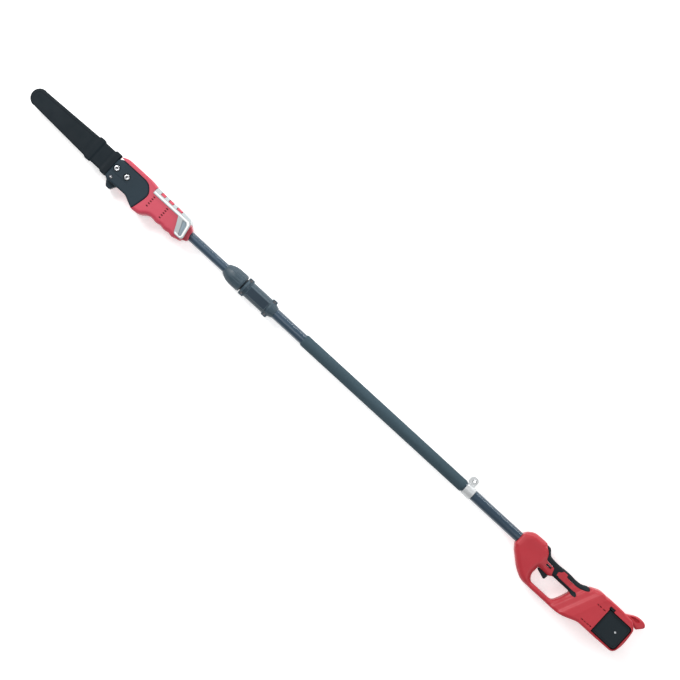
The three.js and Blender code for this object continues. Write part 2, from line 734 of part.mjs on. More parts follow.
function handleBody() {
  const front = outline([
    [-59.5, -HALF_WIDTH, 8], [41, -HALF_WIDTH, 8], [41, HALF_WIDTH, 8], [-59.5, HALF_WIDTH, 8],
  ]);
  const widths = joined(
    prism('y', outline(gripPlan), -120, 120),
    slanted(prism('y', outline(risePlan), -120, 120))
      .intersect(prism('y', outline(rearPlan), -120, 120)),
  );
  const skin = prism('z', outline(handleOutline), -HALF_WIDTH, HALF_WIDTH)
    .intersect(widths)
    .intersect(joined(prism('x', front, 0, 2000), block(600, -120, -28, 960, 120, 28)));
  const horn = cut(
    prism('z', outline(hornOutline), -15, 15),
    prism('z', outline([[1036, 41], [1066, 41, 3], [1066, 51, 4], [1052, 50, 4]]), 6, FAR),
  );
  const { left, right, bottom, top, low } = BATTERY;
  const rearRoom = outline([
    [905, -66, 4], [944, -55, 4], [978, -55], [978, 36, 2], [940, 35, 6], [915, 15, 4], [905, -10],
  ]);
  const roomPlan = outline([
    [-15, 905], [-19, 917], [-34, 955], [-34, 978], [34, 978], [34, 955], [19, 917], [15, 905],
  ].reverse());
  const batteryBay = outline([
    [left - BAY_GAP, bottom - BAY_GAP, 2], [right + BAY_GAP, bottom - BAY_GAP, 12],
    [right + BAY_GAP, top + BAY_GAP, 12], [left - BAY_GAP, top + BAY_GAP, 2],
  ]);
  return cut(
    joined(skin, horn),
    prism('z', outline(fingerHole), -FAR, FAR),
    prism('z', outline(grown(underpadOutline, GAP)), -FAR, FAR),
    prism('z', outline([[700, 20], [715, 30, 4], [750, 31, 4], [765, 17], [770, 5], [770, -60, 5],
      [757, -66, 5], [740, -58, 4]].reverse()), -14, 14),
    bore(OUTER_TUBE.radius + GAP, 600, OUTER_TUBE.to + GAP),
    prism('z', rearRoom, -34, 34).intersect(prism('y', roomPlan, -120, 120)),
    prism('z', batteryBay, low - BAY_GAP, FAR),
    block(974, -20, -10, left, 10, 10),
    block(760, -5, -9, 910, 0.5, 9),
    block(779, -30, -6.6, 813.5, 0, 6.6),
    prism('z', rectangle(787, -6.2, 803, -0.8, 2), -FAR, FAR),
    block(979.5, 22, 20, 996.5, 30, FAR),
    block(790, -75, -9, 880, -68.5, 9),
    ...HANDLE_SCREWS.flatMap(([x, y, face]) => [
      rod('z', 2.3, -FAR, 6, x, y, 4),
      rod('z', 4.1, -FAR, face + 4.2, x, y, 5),
    ]),
  );
}
const HANDLE_SCREWS = [[727, -44, -23], [784, -72, -16.5], [925, -52, -25.5], [1005, 32, -39.5]];
const HEAD_SCREWS = [[-650, 34.5, -31], [-508, -26, -36], [-640, -38, -36]];

function trigger() {
  const corners = [
    [780.5, -22, 1], [779.5, -28.5, 1], [802, -36, 2],
    [807.5, -38, 2], [811, -35, 2], [812, -11.5, 2],
    [800, -10.5, 2], [786, -12.5, 3], [781, -18, 2],
  ];
  return prism('z', outline(corners), -6, 6);
}

function lockOffButton() {
  return prism('z', rectangle(787.4, -5.8, 802.6, -1.2, 2), -19, 19, 0.6);
}

function batteryPack() {
  const { left, right, bottom, top, low, high } = BATTERY;
  const face = outline([
    [left, bottom, 3], [right, bottom, 11], [right, top, 11], [left, top, 3],
  ]);
  return cut(
    prism('z', face, low, high, 2),
    rod('z', 3.2, high - 1, FAR, 1034, -14, 4),
  );
}

function batteryLatch() {
  return cut(
    prism('z', rectangle(980.2, 22.8, 995.8, 28, 1), 26.4, 37.5, 0.8),
    block(983, 24.2, 36.4, 993, 26.4, FAR),
  );
}

// Assembly

function addHead() {
  add('scabbard', scabbard(), blackPlastic);
  add('guide_bar', guideBar(), steel);
  add('saw_chain', sawChain(), darkSteel);
  add('nose_sprocket', noseSprocket(), darkSteel);
  add('gearcase', gearcase(), charcoal);
  add('sprocket_cover', sprocketCover(), charcoal);
  STUDS_X.forEach((x, i) => {
    add(`bar_stud_${i + 1}`, rod('z', STUD_RADIUS, -13.7, STUD_TOP_Z, x, STUD_Y, 4), darkSteel);
    add(`bar_nut_${i + 1}`, barNut(x), steel);
  });
  add('tension_screw', tensionScrew(), steel);
  const body = cut(
    headBody(),
    prism('z', outline(grown(coverOutline, GAP)), CASE_TOP_Z, FAR),
    ...HEAD_SCREWS.flatMap(([x, y, face]) => [
      rod('z', 2.3, -FAR, 6, x, y, 4),
      rod('z', 4.1, -FAR, face + 4.2, x, y, 5),
    ]),
  );
  add('housing_left', leftHalf(body), headRed);
  add('housing_right', rightHalf(body), headRed);
  add('oil_tank', oilTank(), trimGrey);
  add('oil_cap', oilCap(), blackPlastic);
  add('bumper', bumper(), trimGrey);
  add('bumper_pad_left', bumperPad(1), padGrey);
  add('bumper_pad_right', bumperPad(-1), padGrey);
  HEAD_SCREWS.forEach(([x, y, face], i) => {
    add(`head_screw_${i + 1}`, screw(x, y, 3.8, face, 5), darkSteel);
  });
}

function addDrive() {
  add('drive_sprocket', driveSprocket(), darkSteel);
  add('sprocket_shaft', sprocketShaft(), steel);
  add('crown_gear', crownGear(), darkSteel);
  add('pinion', pinion(), darkSteel);
  add('rotor', rotor(), steel);
  add('cooling_fan', fan(), blackPlastic);
  add('stator', ring(MOTOR_X[0], MOTOR_X[1], ROTOR_RADIUS + 0.6, STATOR_RADIUS), copper);
  BEARINGS_X.forEach(([x0, x1], i) => {
    add(`motor_bearing_${i + 1}`, ring(x0, x1, SHAFT_RADIUS + 0.1, BEARING_RADIUS, 20), steel);
  });
}

function addPole() {
  add('inner_tube', tube(INNER_TUBE), tubePaint);
  add('outer_tube', tube(OUTER_TUBE), tubePaint);
  add(
    'grip_sleeve',
    ring(SLEEVE.from, SLEEVE.to, OUTER_TUBE.radius + GAP, SLEEVE.radius),
    sleeveRubber,
  );
  add('lock_nut', lockNut(), blackPlastic);
  add('lock_collet', collet(), trimGrey);
  const coupling = couplingBody();
  add('coupling_left', leftHalf(coupling), blackPlastic);
  add('coupling_right', rightHalf(coupling), blackPlastic);
  let number = 1;
  for (const x of COUPLING_EARS_X) {
    for (const side of [1, -1]) {
      add(`coupling_screw_${number}`, screw(x, side * EAR_Y, 3.6, 8.4, -8), darkSteel);
      number += 1;
    }
  }
  add('strap_hanger', strapHanger(), hangerWhite);
  add('hanger_eyelet', hangerEyelet(), steel);
  add('coiled_lead', ring(-500, 740, 3, LEAD_RADIUS, 8), rubber);
}

function addHandle() {
  const body = handleBody();
  add('handle_left', leftHalf(body), handleRed);
  add('handle_right', rightHalf(body), handleRed);
  add('grip_overmould', prism('z', outline(overmouldOutline), -GRIP_HALF, GRIP_HALF), rubber);
  add('grip_underpad', prism('z', outline(underpadOutline), -GRIP_HALF, GRIP_HALF), rubber);
  add('trigger', trigger(), blackPlastic);
  add('lock_off_button', lockOffButton(), blackPlastic);
  add('trigger_switch', block(818, -4.7, -8.5, 860, 0.2, 8.5), blackPlastic);
  add('control_board', block(935, -45, -20, 937, 20, 20), boardGreen);
  add('battery_terminals', block(975, -16, -9, 981.5, 8, 9), blackPlastic);
  add('battery_pack', batteryPack(), blackPlastic);
  add('battery_latch', batteryLatch(), blackPlastic);
  HANDLE_SCREWS.forEach(([x, y, face], i) => {
    add(`handle_screw_${i + 1}`, screw(x, y, 3.8, face, 5), darkSteel);
  });
}

addHead();
addDrive();
addPole();
addHandle();

// The origin is under the middle of the whole tool, on the floor it lies on.
const extent = new THREE.Box3().setFromObject(saw);
const middle = extent.getCenter(new THREE.Vector3());
saw.position.set(-middle.x, -middle.y, -extent.min.z);

export default saw;
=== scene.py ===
import json
import math

import bpy
import bmesh
import numpy as np
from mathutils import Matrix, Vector, geometry

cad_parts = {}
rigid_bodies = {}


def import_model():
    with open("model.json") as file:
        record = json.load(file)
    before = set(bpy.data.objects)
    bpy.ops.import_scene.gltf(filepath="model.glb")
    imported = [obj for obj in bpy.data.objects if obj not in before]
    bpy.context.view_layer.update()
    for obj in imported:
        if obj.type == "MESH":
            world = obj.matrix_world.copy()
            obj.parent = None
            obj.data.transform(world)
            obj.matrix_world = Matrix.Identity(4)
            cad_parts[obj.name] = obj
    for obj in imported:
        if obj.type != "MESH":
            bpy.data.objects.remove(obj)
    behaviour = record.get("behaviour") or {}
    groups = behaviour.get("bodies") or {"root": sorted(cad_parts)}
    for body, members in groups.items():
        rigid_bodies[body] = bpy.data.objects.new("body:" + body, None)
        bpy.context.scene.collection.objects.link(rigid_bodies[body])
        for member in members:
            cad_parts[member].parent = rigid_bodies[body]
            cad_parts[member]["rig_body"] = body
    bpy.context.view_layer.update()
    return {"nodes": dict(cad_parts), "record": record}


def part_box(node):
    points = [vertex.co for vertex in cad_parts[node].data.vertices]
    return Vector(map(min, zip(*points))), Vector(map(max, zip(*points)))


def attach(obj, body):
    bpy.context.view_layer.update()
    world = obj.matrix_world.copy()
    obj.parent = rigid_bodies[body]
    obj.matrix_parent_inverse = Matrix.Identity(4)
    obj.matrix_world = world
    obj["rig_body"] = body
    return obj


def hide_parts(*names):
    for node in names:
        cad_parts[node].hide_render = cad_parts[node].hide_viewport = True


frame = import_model()
NODES = frame["nodes"]

# Lengths below are millimetres in the pole's own frame: x along the pole, y to the tool's top,
# z to its left, with y = z = 0 on the pole's axis. POLE is that frame's origin in the row frame.
TUBE_FRONT = -276
tube_low, tube_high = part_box("outer_tube")
POLE = np.array([
    tube_low.x * 1000 - TUBE_FRONT,
    (tube_low.y + tube_high.y) * 500,
    (tube_low.z + tube_high.z) * 500,
])


def extent(node):
    """A CAD node's lowest and highest corners in the pole's frame."""
    low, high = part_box(node)
    return np.array(low) * 1000 - POLE, np.array(high) * 1000 - POLE


# ---------------------------------------------------------------- materials

class Look:
    """A procedural material: one Principled shader fed by noise in object coordinates."""

    def __init__(self, name, **fixed):
        self.material = bpy.data.materials.new(name)
        self.material.use_nodes = True
        self.tree = self.material.node_tree
        self.tree.nodes.clear()
        self.shader = self.node("ShaderNodeBsdfPrincipled")
        output = self.node("ShaderNodeOutputMaterial")
        self.link(self.shader.outputs["BSDF"], output.inputs["Surface"])
        for socket, value in fixed.items():
            self.shader.inputs[socket.replace("_", " ")].default_value = value
        self.place = self.node("ShaderNodeTexCoord").outputs["Object"]
        self.normal = None

    def node(self, kind, **settings):
        made = self.tree.nodes.new(kind)
        for key, value in settings.items():
            setattr(made, key, value)
        return made

    def link(self, source, target):
        self.tree.links.new(source, target)

    def noise(self, scale, detail=3.0, stretch=(1, 1, 1)):
        mapping = self.node("ShaderNodeMapping")
        mapping.inputs["Scale"].default_value = stretch
        self.link(self.place, mapping.inputs["Vector"])
        noise = self.node("ShaderNodeTexNoise")
        noise.inputs["Scale"].default_value = scale
        noise.inputs["Detail"].default_value = detail
        self.link(mapping.outputs["Vector"], noise.inputs["Vector"])
        return noise.outputs["Fac"]

    def cells(self, scale, stretch=(1, 1, 1)):
        mapping = self.node("ShaderNodeMapping")
        mapping.inputs["Scale"].default_value = stretch
        self.link(self.place, mapping.inputs["Vector"])
        cells = self.node("ShaderNodeTexVoronoi")
        cells.inputs["Scale"].default_value = scale
        self.link(mapping.outputs["Vector"], cells.inputs["Vector"])
        return cells.outputs["Distance"]

    def ramp(self, value, low, high, start=0.3, end=0.7):
        ramp = self.node("ShaderNodeMapRange")
        ramp.inputs["From Min"].default_value = start
        ramp.inputs["From Max"].default_value = end
        ramp.inputs["To Min"].default_value = low
        ramp.inputs["To Max"].default_value = high
        self.link(value, ramp.inputs["Value"])
        return ramp.outputs["Result"]

    def colour(self, value, first, second, start=0.3, end=0.7):
        ramp = self.node("ShaderNodeValToRGB")
        ramp.color_ramp.elements[0].position = start
        ramp.color_ramp.elements[0].color = (*first, 1)
        ramp.color_ramp.elements[1].position = end
        ramp.color_ramp.elements[1].color = (*second, 1)
        self.link(value, ramp.inputs["Fac"])
        return ramp.outputs["Color"]

    def tint(self, colour_socket):
        self.link(colour_socket, self.shader.inputs["Base Color"])

    def rough(self, value_socket):
        self.link(value_socket, self.shader.inputs["Roughness"])

    def bump(self, height, strength, distance):
        bump = self.node("ShaderNodeBump")
        bump.inputs["Strength"].default_value = strength
        bump.inputs["Distance"].default_value = distance
        self.link(height, bump.inputs["Height"])
        if self.normal is not None:
            self.link(self.normal, bump.inputs["Normal"])
        self.normal = bump.outputs["Normal"]
        self.link(self.normal, self.shader.inputs["Normal"])


def shaded(colour, factor):
    return tuple(min(1.0, part * factor) for part in colour)


def moulded(name, colour, rough=0.42, grain=0.5, coat=0.0, gloss=0.3):
    """Injection-moulded plastic: spark-eroded grain, faint flow marks and handling shine."""
    look = Look(name, Coat_Weight=coat, Coat_Roughness=0.25, Specular_IOR_Level=gloss)
    flow = look.noise(9, 4)
    look.tint(look.colour(flow, shaded(colour, 0.90), shaded(colour, 1.08)))
    look.rough(look.ramp(look.noise(35, 5), rough - 0.05, rough + 0.09))
    look.bump(look.noise(2600, 2), grain * 0.25, 0.0002)
    look.bump(look.cells(1500), grain * 0.18, 0.0002)
    return look.material


def rubbered(name, colour, rough=0.72):
    """Soft overmould: a dull skin with a pebbled texture."""
    look = Look(name, Specular_IOR_Level=0.2)
    look.tint(look.colour(look.noise(14, 4), shaded(colour, 0.82), shaded(colour, 1.2)))
    look.rough(look.ramp(look.noise(60, 4), rough - 0.08, rough + 0.1))
    look.bump(look.cells(1100), 0.35, 0.0003)
    return look.material


def foamed(name, colour):
    """Closed-cell foam sleeve: open pores and long, faint scuffs."""
    look = Look(name, Specular_IOR_Level=0.2)
    scuff = look.noise(30, 5, (0.12, 1, 1))
    look.tint(look.colour(scuff, shaded(colour, 0.85), shaded(colour, 1.15)))
    look.rough(look.ramp(look.noise(120, 4), 0.72, 0.9))
    look.bump(look.cells(900), 0.5, 0.0004)
    look.bump(look.noise(260, 4), 0.3, 0.0004)
    return look.material


def coated(name, colour):
    """Powder-coated aluminium tube: orange peel, and fine scratches along its length."""
    look = Look(name, Metallic=0.2, Coat_Weight=0.7, Coat_Roughness=0.07, Specular_IOR_Level=0.35)
    drawn = look.noise(240, 4, (0.04, 1, 1))
    look.tint(look.colour(drawn, shaded(colour, 0.9), shaded(colour, 1.12)))
    look.rough(look.ramp(look.noise(180, 3, (0.05, 1, 1)), 0.26, 0.4))
    look.bump(look.noise(700, 2), 0.12, 0.0002)
    look.bump(drawn, 0.06, 0.0001)
    return look.material


def steel(name, colour, rough=0.3, stretch=(0.05, 1, 1), marks=0.5):
    """Bare or plated steel with a directional finish and darker, oily patches."""
    look = Look(name, Metallic=1.0, Anisotropic=0.3)
    look.tint(look.colour(look.noise(40, 5), shaded(colour, 1 - 0.3 * marks), shaded(colour, 1.08)))
    look.rough(look.ramp(look.noise(500, 3, stretch), rough - 0.08, rough + 0.12))
    look.bump(look.noise(900, 3, stretch), 0.15, 0.0001)
    return look.material


def painted(name, colour):
    """Pale silver paint on a steel strap, with small chips."""
    look = Look(name, Metallic=0.35, Coat_Weight=0.3, Coat_Roughness=0.2)
    chips = look.noise(320, 6)
    look.tint(look.colour(chips, shaded(colour, 0.55), colour, 0.28, 0.36))
    look.rough(look.ramp(look.noise(70, 4), 0.28, 0.42))
    look.bump(look.noise(800, 2), 0.12, 0.0002)
    return look.material


def wound(name):
    """Copper windings between steel laminations."""
    look = Look(name, Metallic=1.0)
    layers = look.noise(900, 1, (1, 0.02, 0.02))
    look.tint(look.colour(layers, (0.42, 0.19, 0.08), (0.5, 0.5, 0.5), 0.45, 0.55))
    look.rough(look.ramp(look.noise(200, 3), 0.3, 0.5))
    look.bump(layers, 0.3, 0.0003)
    return look.material


def board(name):
    """Circuit board: green resist with darker tracks."""
    look = Look(name, Coat_Weight=0.5)
    look.tint(look.colour(look.cells(260), (0.01, 0.12, 0.05), (0.03, 0.28, 0.12), 0.2, 0.5))
    look.rough(look.ramp(look.noise(90), 0.3, 0.5))
    look.bump(look.cells(260), 0.3, 0.0003)
    return look.material


LOOKS = {
    "scabbard_plastic": moulded("scabbard_plastic", (0.005, 0.010, 0.014), 0.5, 0.7, 0, 0.12),
    "bar_steel": steel("bar_steel", (0.27, 0.28, 0.29), 0.42),
    "chain_steel": steel("chain_steel", (0.17, 0.18, 0.19), 0.38, (1, 1, 1), 1.0),
    "charcoal_plastic": moulded("charcoal_plastic", (0.016, 0.029, 0.040), 0.45, 0.6, 0, 0.15),
    "head_red": moulded("head_red", (0.48, 0.050, 0.082), 0.40, 0.45, 0, 0.4),
    "handle_red": moulded("handle_red", (0.48, 0.028, 0.042), 0.38, 0.45, 0, 0.4),
    "tank_plastic": moulded("tank_plastic", (0.70, 0.72, 0.70), 0.4, 0.2),
    "black_plastic": moulded("black_plastic", (0.036, 0.062, 0.082), 0.42, 0.7, 0, 0.4),
    "trim_grey": moulded("trim_grey", (0.36, 0.40, 0.41), 0.3, 0.3, 0.3, 0.4),
    "pad_grey": moulded("pad_grey", (0.22, 0.28, 0.32), 0.4, 0.5),
    "bright_steel": steel("bright_steel", (0.56, 0.58, 0.60), 0.24, (1, 1, 1), 0.3),
    "screw_steel": steel("screw_steel", (0.12, 0.12, 0.13), 0.4, (1, 1, 1), 0.6),
    "gear_steel": steel("gear_steel", (0.35, 0.35, 0.36), 0.35, (1, 1, 1), 0.8),
    "winding_copper": wound("winding_copper"),
    "tube_paint": coated("tube_paint", (0.026, 0.054, 0.086)),
    "sleeve_rubber": foamed("sleeve_rubber", (0.046, 0.078, 0.098)),
    "collet_plastic": moulded("collet_plastic", (0.020, 0.030, 0.038), 0.4, 0.3, 0, 0.2),
    "hanger_white": painted("hanger_white", (0.60, 0.62, 0.63)),
    "lead_rubber": rubbered("lead_rubber", (0.02, 0.02, 0.02), 0.6),
    "grip_rubber": rubbered("grip_rubber", (0.009, 0.015, 0.019)),
    "board_green": board("board_green"),
    "battery_plastic": moulded("battery_plastic", (0.011, 0.018, 0.023), 0.48, 0.8, 0, 0.18),
}
# A near-white copy of the trim grey: a painted highlight for the bumper's raised strip.
TRIM_PAINTED_HIGHLIGHT = moulded("trim_painted_highlight", (0.80, 0.82, 0.82), 0.25, 0.2, 0.4, 0.5)
# A darker copy of the coupling's plastic: on the side panel, and as painted shade in the grip ribs'
# grooves.
PANEL_DARK_AND_GROOVE_SHADE = moulded("panel_dark_and_groove_shade", (0.014, 0.028, 0.042), 0.5, 0.7, 0, 0.25)
# Bright steel for a thin blade across the dark tension screw: a painted highlight on its slot's
# edges.
SCREW_SLOT_GLINT = steel("screw_slot_glint", (0.75, 0.77, 0.78), 0.3)
SLOT_OF = {part["node"]: part["material_slot"] for part in frame["record"]["subparts"]}
for node_name, node_object in NODES.items():
    node_object.data.materials.clear()
    node_object.data.materials.append(LOOKS[SLOT_OF[node_name]])


# ---------------------------------------------------------------- pieces

def patched(mesh, finish, chosen):
    """Gives the faces whose middles chosen(points) picks a finish of their own."""
    mesh.materials.append(finish)
    middles = np.array([polygon.center for polygon in mesh.polygons]) * 1000 - POLE
    picked = chosen(middles)
    mesh.polygons.foreach_set("material_index", picked.astype(np.int32))
    mesh.update()


def piece(name, points, faces, node, look=None, sharp=38, stands_for=True, finish=None):
    """A mesh in the pole's millimetres that rides with a CAD node's body and stands for it."""
    mesh = bpy.data.meshes.new(name)
    row = (np.asarray(points, float) + POLE) / 1000
    mesh.from_pydata(row.tolist(), [], [list(face) for face in faces])
    mesh.validate()
    bm = bmesh.new()
    bm.from_mesh(mesh)
    bmesh.ops.recalc_face_normals(bm, faces=bm.faces)
    bm.to_mesh(mesh)
    bm.free()
    mesh.shade_smooth()
    mesh.set_sharp_from_angle(angle=math.radians(sharp))
    made = bpy.data.objects.new(name, mesh)
    bpy.context.scene.collection.objects.link(made)
    slot = look or SLOT_OF[node]
    mesh.materials.append(finish or LOOKS[slot])
    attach(made, NODES[node]["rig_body"])
    if stands_for:
        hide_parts(node)
    return made


def merged(*solids):
    """Several (points, faces) solids as one."""
    points, faces, base = [], [], 0
    for part_points, part_faces in solids:
        part_points = np.asarray(part_points, float)
        points.append(part_points)
        faces += [[base + i for i in face] for face in part_faces]
        base += len(part_points)
    return np.vstack(points), faces


# ---------------------------------------------------------------- outlines

def area(loop):
    x, y = loop[:, 0], loop[:, 1]
    return 0.5 * float(np.sum(x * np.roll(y, -1) - np.roll(x, -1) * y))


def section(node, z):
    """The closed outlines of a CAD node cut at height z, largest first, counter-clockwise."""
    bm = bmesh.new()
    bm.from_mesh(NODES[node].data)
    bmesh.ops.remove_doubles(bm, verts=bm.verts, dist=2e-6)
    height = (z + POLE[2]) / 1000
    cut = bmesh.ops.bisect_plane(
        bm, geom=bm.verts[:] + bm.edges[:] + bm.faces[:], dist=1e-7,
        plane_co=(0, 0, height), plane_no=(0, 0, 1),
    )["geom_cut"]
    bm.verts.index_update()
    links = {}
    for item in cut:
        if isinstance(item, bmesh.types.BMEdge):
            a, b = item.verts
            links.setdefault(a.index, set()).add(b.index)
            links.setdefault(b.index, set()).add(a.index)
    bm.verts.ensure_lookup_table()
    place = {i: np.array(bm.verts[i].co[:2]) * 1000 - POLE[:2] for i in links}
    bm.free()
    loops = []
    while links:
        start = min(links)
        loop, here, before = [start], start, None
        while True:
            options = [i for i in links[here] if i != before]
            if not options or options[0] == start:
                break
            before, here = here, options[0]
            if here in loop:
                break
            loop.append(here)
        for i in loop:
            links.pop(i, None)
        for others in links.values():
            others.difference_update(loop)
        if len(loop) > 2:
            outline = np.array([place[i] for i in loop])
            loops.append(outline if area(outline) > 0 else outline[::-1])
    return sorted(loops, key=lambda loop: -abs(area(loop)))


def spaced(loop, step):
    """A closed outline with points about a step apart."""
    ahead = np.roll(loop, -1, axis=0)
    lengths = np.linalg.norm(ahead - loop, axis=1)
    total = lengths.sum()
    count = max(8, int(round(total / step)))
    along = np.concatenate([[0], np.cumsum(lengths)])
    closed = np.vstack([loop, loop[:1]])
    wanted = np.linspace(0, total, count, endpoint=False)
    return np.stack([np.interp(wanted, along, closed[:, k]) for k in range(2)], axis=1)


def softened(loop, step=1.2, blur=1.4):
    """A closed outline resampled and with its corners rounded by a Gaussian of width blur."""
    fine = spaced(loop, step)
    if blur <= 0:
        return fine
    reach = int(math.ceil(3 * blur / step))
    offsets = np.arange(-reach, reach + 1)
    weights = np.exp(-0.5 * (offsets * step / blur) ** 2)
    weights /= weights.sum()
    return sum(w * np.roll(fine, k, axis=0) for w, k in zip(weights, offsets))


def segments(loops):
    starts = np.vstack(loops)
    ends = np.vstack([np.roll(loop, -1, axis=0) for loop in loops])
    return starts, ends


def distance(points, lines):
    """The distance from each point to the nearest of the line segments."""
    starts, ends = lines
    if not len(starts):
        return np.full(len(points), 1e3)
    along = ends - starts
    square = np.maximum((along ** 2).sum(1), 1e-12)
    best = np.full(len(points), 1e9)
    for first in range(0, len(points), 4000):
        chunk = points[first:first + 4000]
        offset = chunk[:, None, :] - starts[None]
        share = np.clip((offset * along).sum(2) / square, 0, 1)
        gap = offset - share[..., None] * along
        best[first:first + 4000] = np.sqrt((gap ** 2).sum(2).min(1))
    return best


def inside(points, loop):
    x, y = points[:, 0], points[:, 1]
    hit = np.zeros(len(points), bool)
    for (ax, ay), (bx, by) in zip(loop, np.roll(loop, -1, axis=0)):
        if ay == by:
            continue
        crosses = (ay > y) != (by > y)
        hit ^= crosses & (x < (bx - ax) * (y - ay) / (by - ay) + ax)
    return hit


def free_edges(own, others, gap=0.9):
    """The segments of outlines that don't run along any of the other outlines."""
    starts, ends = segments(own)
    if others:
        near = distance((starts + ends) / 2, segments(others))
        starts, ends = starts[near > gap], ends[near > gap]
    return starts, ends


def both(*lines):
    return np.vstack([a for a, _ in lines]), np.vstack([b for _, b in lines])


def circle(x, y, radius, count=28):
    turn = np.linspace(0, 2 * math.pi, count, endpoint=False)
    return np.stack([x + radius * np.cos(turn), y + radius * np.sin(turn)], axis=1)


def box_loop(x0, y0, x1, y1, step=1.5):
    return spaced(np.array([[x0, y0], [x1, y0], [x1, y1], [x0, y1]], float), step)


def grown(loop, amount):
    """An evenly spaced outline moved outwards."""
    tangent = np.roll(loop, -1, axis=0) - np.roll(loop, 1, axis=0)
    tangent /= np.maximum(np.linalg.norm(tangent, axis=1, keepdims=True), 1e-9)
    return loop + amount * np.stack([tangent[:, 1], -tangent[:, 0]], axis=1)


# ---------------------------------------------------------------- solids

def relief(
    outline, top, bottom, holes=(), guides=(), spacing=2.2,
    rows=(0.35, 0.9, 1.7, 2.8, 4.2), keep=None,
):
    """A closed solid over an outline with holes, between the heights bottom(xy) and top(xy).

    Guides are closed lines that the mesh follows, so that a step in height stays crisp. keep(xy)
    may drop what is left of the outline on the far side of a hole that crosses it."""
    rims = [outline, *holes]
    lines = [*rims, *guides]
    edge = segments(rims)
    extra = []
    for row in rows:
        for loop, sign in [(outline, -1)] + [(hole, 1) for hole in holes]:
            extra.append(grown(loop, sign * row))
    low, high = outline.min(0), outline.max(0)
    across = np.arange(low[0] + spacing / 2, high[0], spacing)
    up = np.arange(low[1] + spacing / 2, high[1], spacing)
    grid = np.stack(np.meshgrid(across, up), axis=-1).reshape(-1, 2)
    stagger = np.where(np.arange(len(up)) % 2, spacing / 2, 0)
    grid[:, 0] += np.repeat(stagger, len(across))
    grid = grid[distance(grid, edge) > rows[-1] + 0.5 * spacing] if len(rows) else grid
    for k, cloud in enumerate(extra):
        row = rows[k // len(rims)]
        extra[k] = cloud[distance(cloud, edge) > row * 0.93]
    loose = np.vstack([grid, *extra])
    wanted = inside(loose, outline)
    for hole in holes:
        wanted &= ~inside(loose, hole)
    if guides:
        wanted &= distance(loose, segments(list(guides))) > 0.3
    loose = loose[wanted]
    points = np.vstack([*lines, loose])
    edges, base = [], 0
    for loop in lines:
        count = len(loop)
        edges += [(base + i, base + (i + 1) % count) for i in range(count)]
        base += count
    flat, _, triangles, *_ = geometry.delaunay_2d_cdt(
        [Vector(p) for p in points], edges, [], 0, 1e-4,
    )
    flat = np.array([tuple(p) for p in flat])
    triangles = np.array([t for t in triangles if len(t) == 3])
    centres = flat[triangles].mean(1)
    wanted = inside(centres, outline)
    for hole in holes:
        wanted &= ~inside(centres, hole)
    if keep is not None:
        wanted &= keep(centres)
    triangles = triangles[wanted]
    used = np.unique(triangles)
    renumber = np.full(len(flat), -1)
    renumber[used] = np.arange(len(used))
    flat, triangles = flat[used], renumber[triangles]
    upper = np.column_stack([flat, top(flat)])
    lower = np.column_stack([flat, bottom(flat)])
    count = len(flat)
    seen = {}
    for a, b, c in triangles.tolist():
        for side in ((a, b), (b, c), (c, a)):
            seen[side] = seen.get(side, 0) + 1
    rim = [side for side in seen if (side[1], side[0]) not in seen]
    faces = [list(t) for t in triangles.tolist()]
    faces += [[a + count, c + count, b + count] for a, b, c in triangles.tolist()]
    faces += [[b, a, a + count, b + count] for a, b in rim]
    return np.vstack([upper, lower]), faces


def rounding(gap, radius):
    """How far a quarter-round edge of a radius lies below the face, at a distance from the edge."""
    share = np.clip(gap / radius, 0, 1)
    return radius * (1 - np.sqrt(np.clip(1 - (1 - share) ** 2, 0, 1)))


def smoothstep(value, low, high):
    share = np.clip((value - low) / (high - low), 0, 1)
    return share * share * (3 - 2 * share)


def turned(profile, sides=72, shape=None, centre=(0, 0), axis="x"):
    """A closed ring or a spindle: (position, radius) pairs turned about an axis.

    shape(position, angle) may lower the radius, for flutes."""
    profile = np.array(profile, float)
    ring = profile[0, 1] > 0
    turn = np.linspace(0, 2 * math.pi, sides, endpoint=False)
    points = []
    for position, radius in profile:
        radii = np.full(sides, radius)
        if shape is not None:
            radii = radii - shape(position, radius, turn)
        points.append(np.column_stack([
            np.full(sides, position), radii * np.cos(turn), radii * np.sin(turn),
        ]))
    points = np.vstack(points)
    rows = len(profile)
    faces = []
    for i in range(rows if ring else rows - 1):
        j = (i + 1) % rows
        for k in range(sides):
            m = (k + 1) % sides
            faces.append([i * sides + k, i * sides + m, j * sides + m, j * sides + k])
    if not ring:
        faces.append([k for k in range(sides)][::-1])
        faces.append([(rows - 1) * sides + k for k in range(sides)])
    if axis == "z":
        points = points[:, [1, 2, 0]] + np.array([centre[0], centre[1], 0])
    elif axis == "x":
        points = points + np.array([0, centre[0], centre[1]])
    return points, faces


def ring_profile(low, high, inner, outer, edge=0.5):
    """A ring's section with its outer corners rounded."""
    steps = [(1 - math.cos(a), 1 - math.sin(a)) for a in np.linspace(0, math.pi / 2, 4)]
    front = [(low + edge * u, outer - edge * v) for u, v in steps]
    back = [(high - edge * u, outer - edge * v) for u, v in reversed(steps)]
    return [(high, inner), (low, inner), *front, *back]


